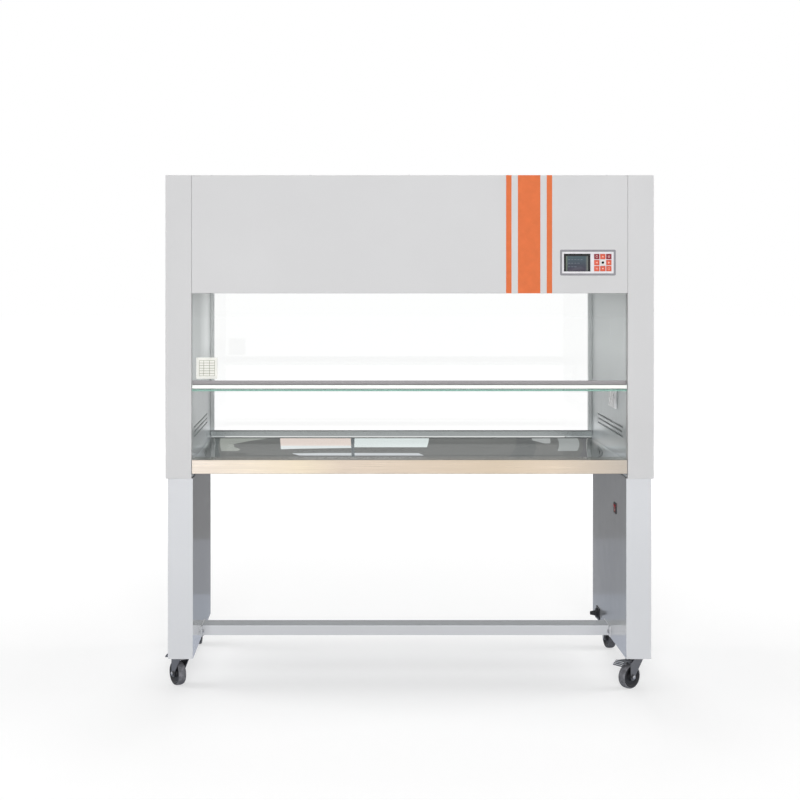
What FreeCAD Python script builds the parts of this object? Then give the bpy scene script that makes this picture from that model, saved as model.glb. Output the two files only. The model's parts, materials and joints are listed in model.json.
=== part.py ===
"""Two-person vertical laminar flow cabinet with a counterbalanced glass sash on a caster stand.

The origin is on the floor under the middle of the cabinet. +X points to the right seen from
the front, +Y to the back and +Z up. All lengths are in millimetres.
"""
import FreeCAD
import Part
import math
import os

V = FreeCAD.Vector
os.makedirs("parts", exist_ok=True)

# Overall stack, from the floor up
caster_height = 105.0
leg_height = 555.0
table_rise = 57.0  # leg tops to the rim of the work table
opening_height = 512.0  # rim of the work table to the lower edge of the head
head_height = 363.0
overall_width = 1500.0
overall_depth = 750.0

# Folded sheet
sheet = 1.5
bend = 0.5  # inner radius of every fold in the painted sheet
thin_sheet = 1.2
return_depth = 15.0  # the narrow flange along a panel's edge
panel_gap = 0.3  # joint between two panels that lie side by side

# Side housings and the walls of the work chamber
side_width = 80.0
wall_return = 16.0
wall_over_plenum = 100.0
vent_rows = 3
vent_count = 20
vent_pitch = 24.0
vent_row_pitch = 14.5
vent_length = 15.0
vent_height = 6.5
vent_first = 100.0  # behind the cabinet's front
vent_low = 63.0  # lowest row above the table rim

# Counterbalanced glass sash
guide_width = 15.0
guide_depth = 18.0
guide_back = 3.0
glass_thickness = 5.0
sash_play = 0.3
sash_edge = 13.0  # how far the glass runs into each guide
sash_height = 522.0
sash_opening = 210.0  # table rim to the lower edge of the glass at rest
sash_clear = 2.0  # handle and rail ends to the side housings
handle_rise = 8.0  # bare glass under the handle
handle_height = 25.0
handle_reach = 14.5
handle_lip = 12.0
handle_wall = 2.5
handle_bend = 1.0
rail_height = 22.0
rail_wall = 2.5
rail_bend = 0.5
lug_length = 12.0
lug_width = 8.0
lug_height = 8.0

# Pulleys, cords and counterweights
cord_inset = 16.0  # sash cord to the inner face of its side housing
cord_diameter = 3.0
cord_gap = 0.3
cord_radius = 29.0  # cord centre line round the pulley
pulley_flange = 33.0
pulley_width = 10.0
groove_floor = 4.0
pulley_pin = 4.0
running_gap = 0.05
pin_head = 7.0
pin_head_height = 2.0
bracket_gap = 3.0
bracket_half = 22.0
bracket_thickness = 3.0
weight_width = 40.0
weight_length = 392.0
weight_drop = 246.0  # pulley centre to the top of the counterweight at rest
weight_chamfer = 2.0

# Work table
table_margin = 1.5  # table end to chamber wall
lip_setback = 3.0
lip_height = 43.0
rim_width = 50.0
rim_rise = 3.0
rear_rise = 20.0
rear_width = 12.0
rear_hem = 12.0
table_back_gap = 50.0  # back of the table to the back of the cabinet
rib_width = 30.0
rib_height = 14.0
rib_count = 5
rib_flange = 15.0
rib_clear = 2.0  # between a rib's ends and the beams
rim_slope = 3.0  # how far the rim takes to fall to the bed
table_bend = 1.0
beam_height = 28.0
beam_width = 40.0
beam_wall = 2.0
beam_inset = 22.0

# Rear glass
rear_bar = 12.0
rear_bar_depth = 20.0
rear_bar_height = 20.0
groove_depth = 8.0
groove_play = 0.3

# Air stack in the head
lamp_recess = 33.0  # lower edge of the head to the diffuser
diffuser_depth = 6.0
diffuser_rows = 3
diffuser_columns = 18
slot_margin = 39.7  # end of the plate to the first column of slots
slot_width = 12.0
slot_row_margin = 26.5
slot_bridge = 35.0  # metal between two rows
blower_room = 194.0  # from the pressure box up to the top
plenum_flange = 18.0
plenum_front_gap = 37.0
plenum_back_gap = 45.0
filter_height = 69.0
filter_gap = 5.0
filter_wall = 15.0
pleat_count = 24
pleat_height = 50.0
media = 3.0
cover_flange = 12.0
prefilter_length = 760.0
prefilter_width = 300.0
prefilter_height = 12.0
prefilter_rim = 18.0
prefilter_pleats = 20
intake_rows = 3
intake_columns = 8
intake_length = 70.0
intake_width = 8.0
intake_pitch = 88.0
intake_row_pitch = 80.0

# Blowers
blower_offset = 340.0
blower_width = 150.0
blower_axis_rise = 86.0
scroll_radius = 62.0
scroll_growth = 6.0
blower_sheet = 1.5
inlet_radius = 46.0
motor_radius = 26.0
motor_length = 52.0
arm_width = 14.0
arm_thickness = 3.0
shaft_radius = 4.0
shaft_length = 30.0
shaft_end_gap = 3.0
fan_radius = 58.0
fan_inner = 46.0
fan_width = 110.0
fan_disc = 3.0
blade_count = 10
blade_thickness = 2.0
blade_lean = 22.0
hub_radius = 12.0
hub_length = 16.0

# Lamps
lamp_end_gap = 70.0  # tube end to the chamber wall
lamp_radius = 13.0
germicidal_radius = 8.0
lamp_setback = 75.0
germicidal_back_gap = 130.0
lamp_drop = 16.0
holder_thickness = 12.0
holder_margin = 2.0

# Control panel on the head
panel_edge_gap = 37.2  # right-hand edge of the panel to the side housing
panel_low = 54.4  # above the lower edge of the head
panel_width = 172.0
panel_height = 80.0
panel_plate = 2.5
panel_corner = 4.0
collar_inset = 6.0
collar_depth = 15.0
collar_wall = 2.0
display_inset = 12.6
display_width = 81.0
display_height = 54.0
display_recess = 0.8
board_thickness = 1.6
board_inset = 11.5
key_inset_x = 105.3
key_size = 16.0
key_pitch = 18.5
key_gap = 0.3
key_proud = 0.8
key_flange = 0.8
key_flange_depth = 1.5
key_edge = 0.6

# Stripes on the head
stripe_thickness = 0.3
narrow_stripe = 16.7
wide_stripe = 69.0
stripe_gap = 19.5
stripe_edge_gap = 232.6  # last stripe to the side housing

# Socket outlet on the right wall of the chamber
socket_setback = 200.0
socket_width = 104.0
socket_height = 82.0
socket_depth = 8.0
socket_low = 141.0  # above the table rim
socket_edge = 2.5
socket_face_inset = 14.0
socket_face_step = 1.0
pin_slot_depth = 5.0
slot_blade = 7.5
slot_narrow = 2.4
upper_slots = (14.0, 6.4)  # height over the middle, and half their spacing
earth_slot = -4.0
lower_slots = (-15.0, 8.0)

# Legs and stretcher
leg_width = 77.0
leg_inset = 7.0
leg_setback = 5.0
leg_back_gap = 95.0
bar_height = 32.5
bar_depth = 76.0
bar_rise = 2.0
bar_setback = 315.0
bar_wall = 2.0
bar_plate = 3.0
bar_plate_margin = 22.0

# Rocker switch on the right leg
switch_setback = 200.0
switch_drop = 119.5  # leg top to the switch's centre
switch_width = 42.0
switch_height = 34.0
switch_flange = 2.5
switch_body = 22.0
rocker_width = 26.0
rocker_height = 24.0
rocker_gap = 1.2
rocker_play = 0.3
switch_wall = 3.0
rocker_pin = 1.5
rocker_pin_length = 1.6
rocker_tilt = 9.0
rocker_depth = 8.0
rocker_proud = 4.5

# Cable outlet on the right leg
outlet_back_gap = 215.0
outlet_rise = 27.0
outlet_plate = 3.0
outlet_width = 62.0
outlet_height = 40.0
gland_radius = 11.0
gland_length = 18.0
gland_bore = 4.5
nut_radius = 14.0
nut_length = 7.0

# Casters
caster_inset = 42.0  # swivel axis to the cabinet's side
front_caster_setback = 82.0
rear_caster_back_gap = 130.0
wheel_diameter = 75.0
wheel_width = 25.0
wheel_edge = 2.5
trail = 28.0
axle_radius = 4.0
fork_gap = 2.0
fork_sheet = 2.5
fork_end_radius = 11.0
crown_radius = 23.0
crown_drop = 3.3  # top plate to the crown
crown_height = 9.5
bolt_radius = 7.0
bolt_height = 4.0
plate_size = 62.0
plate_thickness = 2.5
race_radius = 20.0
race_gap = 0.3
king_pin = 5.0
king_head = 9.0
king_head_height = 3.0
trail_angles = {
    "front_left": 122.0,
    "front_right": -143.0,
    "rear_left": 90.0,
    "rear_right": -80.0,
}

# Brake pedals of the front casters
pedal_pivot_x = 21.0
pedal_pivot_z = 83.0
pedal_pin = 2.5
pedal_barrel = 5.0
pedal_width = 26.0
pedal_sheet = 2.5
pedal_length = 46.0
pedal_rise = 4.0  # slope of the released pedal
pedal_travel = 10.0
pad_width = 36.0
pad_length = 20.0
pad_slope = 42.0
rib_step = 6.0
pad_rib_width = 2.0
pad_rib_height = 1.2
pad_ribs = 3
shoe_start = 20.0
shoe_length = 12.0
shoe_gap = 0.4

# Places worked out from the sizes above
half_width = overall_width / 2
front_y = -overall_depth / 2
back_y = overall_depth / 2
leg_top_z = caster_height + leg_height
table_z = leg_top_z + table_rise
head_z = table_z + opening_height
top_z = head_z + head_height
inner_x = half_width - side_width
sash_y = front_y + return_depth + panel_gap + guide_width / 2
wall_front_y = sash_y + guide_width / 2 + panel_gap
glass_z = table_z + sash_opening
pulley_x = inner_x - cord_inset + cord_radius
pulley_z = top_z - cover_flange - bracket_gap - pulley_flange
ceiling_z = head_z + lamp_recess
plenum_z = ceiling_z + diffuser_depth
plenum_top_z = top_z - blower_room
plenum_x = inner_x - panel_gap
plenum_front_y = front_y + plenum_front_gap
plenum_back_y = back_y - plenum_back_gap
table_x = inner_x - table_margin
table_front_y = front_y + lip_setback
table_back_y = back_y - table_back_gap
work_z = table_z - rim_rise
leg_out_x = half_width - leg_inset
leg_in_x = leg_out_x - leg_width
panel_left = inner_x - panel_edge_gap - panel_width
lamp_length = 2 * (inner_x - lamp_end_gap)
blower_axis_z = plenum_top_z + blower_axis_rise


def box(x0, x1, y0, y1, z0, z1):
    return Part.makeBox(x1 - x0, y1 - y0, z1 - z0, V(x0, y0, z0))


def mirrored(shape):
    """The left-hand copy of a right-hand piece."""
    return shape.mirror(V(0, 0, 0), V(1, 0, 0))


def in_xy(z):
    return lambda p: V(p[0], p[1], z)


def in_xz(y):
    return lambda p: V(p[0], y, p[1])


def in_yz(x):
    return lambda p: V(x, p[0], p[1])


def heading(a, b):
    """Unit direction from one flat point to another."""
    length = math.hypot(b[0] - a[0], b[1] - a[1])
    return ((b[0] - a[0]) / length, (b[1] - a[1]) / length)


def offset_path(points, distance):
    """The open path moved to its left by the distance, with mitred corners."""
    runs = [heading(a, b) for a, b in zip(points, points[1:])]
    normals = [(-run[1], run[0]) for run in runs]
    moved = []
    for i, point in enumerate(points):
        before = normals[max(i - 1, 0)]
        after = normals[min(i, len(normals) - 1)]
        share = distance / (1 + before[0] * after[0] + before[1] * after[1])
        x = point[0] + (before[0] + after[0]) * share
        y = point[1] + (before[1] + after[1]) * share
        moved.append((x, y))
    return moved


def rounded_edges(points, radii, place):
    """Straight runs joined by tangent arcs, one radius for each inner point."""
    edges = []
    start = points[0]
    for before, corner, after, radius in zip(points, points[1:], points[2:], radii):
        come = heading(before, corner)
        leave = heading(corner, after)
        half_turn = math.acos(come[0] * leave[0] + come[1] * leave[1]) / 2
        reach = radius * math.tan(half_turn)
        depth = radius * (1 / math.cos(half_turn) - 1)
        inward = heading(come, leave)
        arc_start = (corner[0] - come[0] * reach, corner[1] - come[1] * reach)
        arc_middle = (corner[0] + inward[0] * depth, corner[1] + inward[1] * depth)
        arc_end = (corner[0] + leave[0] * reach, corner[1] + leave[1] * reach)
        edges.append(Part.LineSegment(place(start), place(arc_start)).toShape())
        arc = Part.Arc(place(arc_start), place(arc_middle), place(arc_end))
        edges.append(arc.toShape())
        start = arc_end
    edges.append(Part.LineSegment(place(start), place(points[-1])).toShape())
    return edges


def folded_sheet(points, thickness, inner_radius, side, place, push):
    """A folded sheet. The path is one face, and the sheet is on its left (1) or right (-1)."""
    near_radii = []
    far_radii = []
    for before, corner, after in zip(points, points[1:], points[2:]):
        come = heading(before, corner)
        leave = heading(corner, after)
        turn = come[0] * leave[1] - come[1] * leave[0]
        grows = turn * side > 0
        near_radii.append(inner_radius + thickness if grows else inner_radius)
        far_radii.append(inner_radius if grows else inner_radius + thickness)
    far = offset_path(points, side * thickness)
    edges = rounded_edges(points, near_radii, place)
    edges.append(Part.LineSegment(place(points[-1]), place(far[-1])).toShape())
    edges += rounded_edges(far[::-1], far_radii[::-1], place)
    edges.append(Part.LineSegment(place(far[0]), place(points[0])).toShape())
    return Part.Face(Part.Wire(edges)).extrude(push)


def rounded_block(lows, highs, axis, face_side, radius):
    """A block with the four edges round one of its faces rounded."""
    block = box(lows[0], highs[0], lows[1], highs[1], lows[2], highs[2])
    level = highs[axis] if face_side > 0 else lows[axis]
    rim = []
    for edge in block.Edges:
        if all(abs(v.Point[axis] - level) < 1e-6 for v in edge.Vertexes):
            rim.append(edge)
    return block.makeFillet(radius, rim)


def pan(lows, highs, axis, face_side, thickness):
    """A flat sheet with a flange folded back along each of its four edges."""
    inner_lows = [low + thickness for low in lows]
    inner_highs = [high - thickness for high in highs]
    if face_side < 0:
        inner_highs[axis] = highs[axis] + thickness
    else:
        inner_lows[axis] = lows[axis] - thickness
    shell = rounded_block(lows, highs, axis, face_side, thickness + bend)
    return shell.cut(rounded_block(inner_lows, inner_highs, axis, face_side, bend))


def rounded_rectangle(x0, x1, y0, y1, radius, place):
    """A flat face with four rounded corners."""
    middle = (x0 + x1) / 2
    points = [(middle, y0), (x1, y0), (x1, y1), (x0, y1), (x0, y0), (middle, y0)]
    return Part.Face(Part.Wire(rounded_edges(points, [radius] * 4, place)))


def polygon_face(points, place):
    ring = [place(p) for p in points]
    return Part.Face(Part.makePolygon(ring + [ring[0]]))


def spread(count, pitch):
    """Places of a centred row."""
    return [(i - (count - 1) / 2) * pitch for i in range(count)]


def side_housing():
    """Right-hand housing: a folded skin closed at both ends, with the pulley bracket and pin."""
    path = [
        (inner_x, front_y + return_depth),
        (inner_x, front_y),
        (half_width, front_y),
        (half_width, back_y),
        (inner_x, back_y),
        (inner_x, back_y - return_depth),
    ]
    rise = V(0, 0, top_z - leg_top_z)
    skin = folded_sheet(path, sheet, bend, 1, in_xy(leg_top_z), rise)
    ends = []
    for low in (leg_top_z, top_z - sheet):
        ends.append(
            box(inner_x, half_width - sheet, front_y + sheet, back_y - sheet, low, low + sheet)
        )
    return skin.fuse(ends + pulley_bracket()).removeSplitter()


def pulley_bracket():
    """The plate behind the pulley, its shoulder, and the pin with its head."""
    plate_y = sash_y + pulley_width / 2 + bracket_gap
    plate = box(
        pulley_x - bracket_half,
        half_width - sheet / 2,
        plate_y,
        plate_y + bracket_thickness,
        pulley_z - bracket_half,
        pulley_z + bracket_half,
    )
    forward = V(0, -1, 0)
    shoulder_length = bracket_gap - cord_gap
    shoulder = Part.makeCylinder(pin_head, shoulder_length, V(pulley_x, plate_y, pulley_z), forward)
    head_y = sash_y - pulley_width / 2 - cord_gap
    pin = Part.makeCylinder(pulley_pin, plate_y - head_y, V(pulley_x, plate_y, pulley_z), forward)
    head = Part.makeCylinder(pin_head, pin_head_height, V(pulley_x, head_y, pulley_z), forward)
    return [plate, shoulder, pin, head]


def inner_wall():
    """Right-hand wall of the work chamber, with its rows of return air slots."""
    base_z = leg_top_z + sheet
    path = [
        (inner_x + wall_return, wall_front_y),
        (inner_x, wall_front_y),
        (inner_x, back_y - return_depth),
        (inner_x + wall_return, back_y - return_depth),
    ]
    rise = V(0, 0, plenum_top_z + wall_over_plenum - base_z)
    wall = folded_sheet(path, thin_sheet, bend, -1, in_xy(base_z), rise)
    slots = []
    for row in range(vent_rows):
        odd = row % 2
        z = table_z + vent_low + row * vent_row_pitch
        for column in range(vent_count - odd):
            y = front_y + vent_first + (column + odd / 2) * vent_pitch
            slots.append(
                box(
                    inner_x - sheet,
                    inner_x + thin_sheet + sheet,
                    y - vent_length / 2,
                    y + vent_length / 2,
                    z - vent_height / 2,
                    z + vent_height / 2,
                )
            )
    return wall.cut(slots)


def head_front_panel():
    """Front of the head, with the opening for the control panel's collar."""
    panel = pan(
        [-inner_x + panel_gap, front_y, head_z],
        [inner_x - panel_gap, front_y + return_depth, top_z],
        1,
        -1,
        sheet,
    )
    collar = collar_bounds(panel_gap)
    return panel.cut(box(collar[0], collar[1], front_y - sheet, front_y + 2 * sheet, *collar[2:]))


def head_rear_panel():
    return pan(
        [-inner_x + panel_gap, back_y - return_depth, head_z],
        [inner_x - panel_gap, back_y, top_z],
        1,
        1,
        sheet,
    )


def top_cover():
    """Lid of the head between the housings, with air intake slots over the pre-filter."""
    y_limit = back_y - return_depth - panel_gap
    cover = pan(
        [-inner_x + panel_gap, -y_limit, top_z - cover_flange],
        [inner_x - panel_gap, y_limit, top_z],
        2,
        1,
        sheet,
    )
    slots = []
    for x in spread(intake_columns, intake_pitch):
        for y in spread(intake_rows, intake_row_pitch):
            slots.append(
                box(
                    x - intake_length / 2,
                    x + intake_length / 2,
                    y - intake_width / 2,
                    y + intake_width / 2,
                    top_z - 2 * sheet,
                    top_z + sheet,
                )
            )
    return cover.cut(slots)


def zigzag(length, height, count, thickness, x0, z0, y0, y1):
    """Pleated media: a zigzag strip pushed along Y."""
    step = length / (2 * count)
    lower = []
    upper = []
    for i in range(2 * count + 1):
        z = z0 + (i % 2) * (height - thickness)
        lower.append((x0 + i * step, z))
        upper.append((x0 + i * step, z + thickness))
    return polygon_face(lower + upper[::-1], in_xz(y0)).extrude(V(0, y1 - y0, 0))


def pre_filter():
    """Coarse filter under the intake slots: a rim round a shallow pleated mat."""
    half_length = prefilter_length / 2
    half = prefilter_width / 2
    high = top_z - sheet
    low = high - prefilter_height
    rim = box(-half_length, half_length, -half, half, low, high)
    in_length = half_length - prefilter_rim
    in_width = half - prefilter_rim
    rim = rim.cut(box(-in_length, in_length, -in_width, in_width, low - sheet, high + sheet))
    mat = zigzag(
        2 * in_length,
        prefilter_height - 2 * sheet,
        prefilter_pleats,
        media,
        -in_length,
        low + sheet,
        -in_width,
        in_width,
    )
    return rim.fuse(mat)


def plenum_box():
    """Pressure box over the filter, with a ledge for the filter and two blower openings."""
    shell = box(-plenum_x, plenum_x, plenum_front_y, plenum_back_y, plenum_z, plenum_top_z)
    hollow = box(
        -plenum_x + sheet,
        plenum_x - sheet,
        plenum_front_y + sheet,
        plenum_back_y - sheet,
        plenum_z + sheet,
        plenum_top_z - sheet,
    )
    mouth = box(
        -plenum_x + plenum_flange,
        plenum_x - plenum_flange,
        plenum_front_y + plenum_flange,
        plenum_back_y - plenum_flange,
        plenum_z - sheet,
        plenum_z + 2 * sheet,
    )
    openings = []
    for x in (-blower_offset, blower_offset):
        outlet = blower_outlet()
        openings.append(
            box(
                x - blower_width / 2 + blower_sheet,
                x + blower_width / 2 - blower_sheet,
                outlet[0],
                outlet[1],
                plenum_top_z - 2 * sheet,
                plenum_top_z + sheet,
            )
        )
    return shell.cut([hollow, mouth] + openings)


def hepa_filter():
    """The main filter: a frame with a deep pleated pack across it."""
    low = plenum_z + sheet
    edge = sheet + filter_gap
    x_limit = plenum_x - edge
    y0 = plenum_front_y + edge
    y1 = plenum_back_y - edge
    frame = box(-x_limit, x_limit, y0, y1, low, low + filter_height)
    in_x = x_limit - filter_wall
    in_y0 = y0 + filter_wall
    in_y1 = y1 - filter_wall
    frame = frame.cut(box(-in_x, in_x, in_y0, in_y1, low - sheet, low + filter_height + sheet))
    pack_z = low + (filter_height - pleat_height) / 2
    pack = zigzag(2 * in_x, pleat_height, pleat_count, media, -in_x, pack_z, in_y0, in_y1)
    return frame.fuse(pack)


def diffuser_plate():
    """Ceiling of the work chamber: a shallow pan with rows of long air slots."""
    plate = pan(
        [-plenum_x + panel_gap, plenum_front_y, ceiling_z],
        [plenum_x - panel_gap, plenum_back_y, plenum_z],
        2,
        -1,
        thin_sheet,
    )
    middle_y = (plenum_front_y + plenum_back_y) / 2
    depth = plenum_back_y - plenum_front_y
    slot_pitch = 2 * (plenum_x - slot_margin) / diffuser_columns
    slot_row_pitch = (depth - 2 * slot_row_margin) / diffuser_rows
    slot_length = slot_row_pitch - slot_bridge
    slots = []
    for x in spread(diffuser_columns, slot_pitch):
        for y in spread(diffuser_rows, slot_row_pitch):
            slots.append(
                box(
                    x - slot_width / 2,
                    x + slot_width / 2,
                    middle_y + y - slot_length / 2,
                    middle_y + y + slot_length / 2,
                    ceiling_z - thin_sheet,
                    ceiling_z + 2 * thin_sheet,
                )
            )
    return plate.cut(slots)


def scroll_face(inset, foot_z, x):
    """A blower scroll's outline at x: three quarter arcs that grow, then the outlet duct."""
    place = in_yz(x)
    radius = scroll_radius - inset
    centre = [0.0, blower_axis_z]
    here = (-inset, blower_axis_z - math.sqrt(radius**2 - inset**2))
    edges = [Part.LineSegment(place((-inset, foot_z)), place(here)).toShape()]
    for quarter in range(3):
        corners = []
        for angle in (90 * quarter - 45, 90 * quarter):
            turn = math.radians(angle)
            y = centre[0] + radius * math.cos(turn)
            z = centre[1] + radius * math.sin(turn)
            corners.append((y, z))
        middle, end = corners
        edges.append(Part.Arc(place(here), place(middle), place(end)).toShape())
        here = end
        centre[0] -= scroll_growth * math.cos(turn)
        centre[1] -= scroll_growth * math.sin(turn)
        radius += scroll_growth
    edges.append(Part.LineSegment(place(here), place((here[0], foot_z))).toShape())
    edges.append(Part.LineSegment(place((here[0], foot_z)), place((-inset, foot_z))).toShape())
    return Part.Face(Part.Wire(edges))


def blower_outlet():
    """Front and back limits of the duct inside a blower's walls."""
    duct_back = -blower_sheet
    duct_front = -3 * scroll_growth - scroll_radius + blower_sheet
    return duct_front, duct_back


def motor_arm(angle, x):
    """One arm of the cradle that holds the motor in the blower's inlet."""
    reach = inlet_radius + blower_sheet
    half = arm_width / 2
    arm = box(x, x + arm_thickness, motor_radius - arm_thickness, reach, -half, half)
    arm.rotate(V(x, 0, 0), V(1, 0, 0), angle)
    arm.translate(V(0, 0, blower_axis_z))
    return arm


def blower(x):
    """Scroll housing with open inlets, and its motor held in one inlet by three arms."""
    along = V(1, 0, 0)
    left = x - blower_width / 2
    housing = scroll_face(0.0, plenum_top_z, left).extrude(along * blower_width)
    hollow = scroll_face(blower_sheet, plenum_top_z - sheet, left + blower_sheet)
    hollow = hollow.extrude(along * (blower_width - 2 * blower_sheet))
    start = V(left - sheet, 0, blower_axis_z)
    inlets = Part.makeCylinder(inlet_radius, blower_width + 2 * sheet, start, along)
    housing = housing.cut([hollow, inlets])
    motor = Part.makeCylinder(motor_radius, motor_length, V(left, 0, blower_axis_z), along)
    bore_start = V(left + motor_length - shaft_length, 0, blower_axis_z)
    bore = Part.makeCylinder(shaft_radius + running_gap, shaft_length, bore_start, along)
    arms = [motor_arm(angle, left) for angle in (90, 210, 330)]
    return housing.fuse([motor] + arms).cut(bore)


def blowers():
    return Part.makeCompound([blower(-blower_offset), blower(blower_offset)])


def impeller(x):
    """Centre disc, hub and shaft with a ring of leaning blades on both sides of the disc."""
    along = V(1, 0, 0)
    centre = V(x, 0, blower_axis_z)
    disc = Part.makeCylinder(fan_radius, fan_disc, centre - along * (fan_disc / 2), along)
    hub = Part.makeCylinder(hub_radius, hub_length, centre - along * (hub_length / 2), along)
    motor_end = x - blower_width / 2 + motor_length
    shaft_start = V(motor_end - shaft_length + shaft_end_gap, 0, blower_axis_z)
    shaft = Part.makeCylinder(shaft_radius, x - shaft_start.x, shaft_start, along)
    tip_radius = fan_radius - blade_thickness
    lean = math.radians(blade_lean)
    outer = (tip_radius * math.cos(lean), tip_radius * math.sin(lean))
    chord = [(fan_inner, 0.0), outer]
    face = polygon_face(chord + offset_path(chord, blade_thickness)[::-1], in_yz(x - fan_width / 2))
    blade = face.extrude(along * fan_width)
    blade.translate(V(0, 0, blower_axis_z))
    blades = []
    for i in range(blade_count):
        copy = blade.copy()
        copy.rotate(centre, along, 360 * i / blade_count)
        blades.append(copy)
    return disc.fuse([hub, shaft] + blades)


def tube(radius, y):
    """A lamp tube between its two holders."""
    z = ceiling_z - lamp_drop
    return Part.makeCylinder(radius, lamp_length, V(-lamp_length / 2, y, z), V(1, 0, 0))


def lamp_places():
    """Radius and depth of the light tube and of the germicidal tube."""
    return (
        (lamp_radius, front_y + lamp_setback),
        (germicidal_radius, back_y - germicidal_back_gap),
    )


def lamp_holders():
    """Four end holders that hang from the ceiling, rounded under the tubes."""
    holders = []
    for radius, y in lamp_places():
        z = ceiling_z - lamp_drop
        half = radius + holder_margin
        for x in (-lamp_length / 2 - holder_thickness, lamp_length / 2):
            plate = box(x, x + holder_thickness, y - half, y + half, z, ceiling_z)
            foot = Part.makeCylinder(half, holder_thickness, V(x, y, z), V(1, 0, 0))
            holders.append(plate.fuse(foot).removeSplitter())
    return Part.makeCompound(holders)


def work_table():
    """Folded stainless top: deep front lip, raised rim, flat bed, rear upstand, ribs below."""
    path = [
        (table_front_y + return_depth, table_z - lip_height),
        (table_front_y, table_z - lip_height),
        (table_front_y, table_z),
        (table_front_y + rim_width, table_z),
        (table_front_y + rim_width + rim_slope, work_z),
        (table_back_y - rear_width, work_z),
        (table_back_y - rear_width, table_z + rear_rise),
        (table_back_y, table_z + rear_rise),
        (table_back_y, table_z + rear_rise - rear_hem),
    ]
    top = folded_sheet(path, sheet, table_bend, -1, in_yz(-table_x), V(2 * table_x, 0, 0))
    ribs = []
    under_z = work_z - sheet
    rib_front = wall_front_y + panel_gap + beam_width + rib_clear
    rib_back = rear_beam_y() - rib_clear
    for x in spread(rib_count, 2 * table_x / rib_count):
        rib_path = [
            (x - rib_width / 2 - rib_flange, under_z - sheet),
            (x - rib_width / 2, under_z - sheet),
            (x - rib_width / 2, under_z - rib_height),
            (x + rib_width / 2, under_z - rib_height),
            (x + rib_width / 2, under_z - sheet),
            (x + rib_width / 2 + rib_flange, under_z - sheet),
        ]
        ring = rib_path + offset_path(rib_path, sheet)[::-1]
        ribs.append(polygon_face(ring, in_xz(rib_front)).extrude(V(0, rib_back - rib_front, 0)))
    return top.fuse(ribs)


def rear_beam_y():
    return table_back_y - rear_width - beam_inset - beam_width


def beam(y):
    """A square tube across the cabinet under the work table."""
    high = work_z - sheet
    outer = box(-inner_x, inner_x, y, y + beam_width, high - beam_height, high)
    hollow = box(
        -inner_x - sheet,
        inner_x + sheet,
        y + beam_wall,
        y + beam_width - beam_wall,
        high - beam_height + beam_wall,
        high - beam_wall,
    )
    return outer.cut(hollow)


def table_beams():
    """Front and rear beams that carry the work table between the chamber walls."""
    return Part.makeCompound([beam(wall_front_y + panel_gap), beam(rear_beam_y())])


def rear_frame_bounds():
    """Outer limits of the rear glass frame: x, front, back, low and high."""
    low = table_z
    front = table_back_y + panel_gap
    return inner_x - panel_gap, front, front + rear_bar_depth, low, ceiling_z - panel_gap


def rear_glass_frame():
    """Frame round the rear glass, grooved inside for the pane."""
    x, y0, y1, low, high = rear_frame_bounds()
    frame = box(-x, x, y0, y1, low, high)
    window_x = x - rear_bar
    window = (low + rear_bar_height, high - rear_bar_height)
    opening = box(-window_x, window_x, y0 - sheet, y1 + sheet, *window)
    middle = (y0 + y1) / 2
    half = glass_thickness / 2 + groove_play
    groove = box(
        -window_x - groove_depth,
        window_x + groove_depth,
        middle - half,
        middle + half,
        window[0] - groove_depth,
        window[1] + groove_depth,
    )
    return frame.cut([opening, groove])


def rear_glass():
    """Clear pane that stands on the floor of the frame's groove."""
    x, y0, y1, low, high = rear_frame_bounds()
    middle = (y0 + y1) / 2
    reach = x - rear_bar + groove_depth - groove_play
    return box(
        -reach,
        reach,
        middle - glass_thickness / 2,
        middle + glass_thickness / 2,
        low + rear_bar_height - groove_depth,
        high - rear_bar_height + groove_depth - groove_play,
    )


def sash_glass():
    reach = inner_x + sash_edge
    half = glass_thickness / 2
    return box(-reach, reach, sash_y - half, sash_y + half, glass_z, glass_z + sash_height)


def sash_handle():
    """Grip rail on the front of the sash: back plate, shelf and finger lip in one profile."""
    x = inner_x - sash_clear
    low = glass_z + handle_rise
    face_y = sash_y - glass_thickness / 2
    path = [
        (face_y, low + handle_height),
        (face_y, low),
        (face_y - handle_reach, low),
        (face_y - handle_reach, low + handle_lip),
    ]
    return folded_sheet(path, handle_wall, handle_bend, -1, in_yz(-x), V(2 * x, 0, 0))


def sash_top_rail():
    """Channel over the top edge of the glass, with a lug for each cord."""
    x = inner_x - sash_clear
    high = glass_z + sash_height + rail_bend + rail_wall
    half = glass_thickness / 2 + rail_wall
    path = [
        (sash_y - half, high - rail_height),
        (sash_y - half, high),
        (sash_y + half, high),
        (sash_y + half, high - rail_height),
    ]
    rail = folded_sheet(path, rail_wall, rail_bend, -1, in_yz(-x), V(2 * x, 0, 0))
    lugs = []
    for side in (-1, 1):
        centre = side * (inner_x - cord_inset)
        lugs.append(
            box(
                centre - lug_length / 2,
                centre + lug_length / 2,
                sash_y - lug_width / 2,
                sash_y + lug_width / 2,
                high - rail_wall / 2,
                high + lug_height,
            )
        )
    return rail.fuse(lugs)


def sash_guide():
    """Right-hand glass run: a moulded channel that stands in the side housing."""
    low = leg_top_z + sheet
    high = pulley_z - pulley_flange - bracket_gap
    half = guide_width / 2
    run = box(inner_x, inner_x + guide_depth, sash_y - half, sash_y + half, low, high)
    slot_half = glass_thickness / 2 + sash_play
    slot = box(
        inner_x - sheet,
        inner_x + guide_depth - guide_back,
        sash_y - slot_half,
        sash_y + slot_half,
        low - sheet,
        high + sheet,
    )
    return run.cut(slot)


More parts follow.
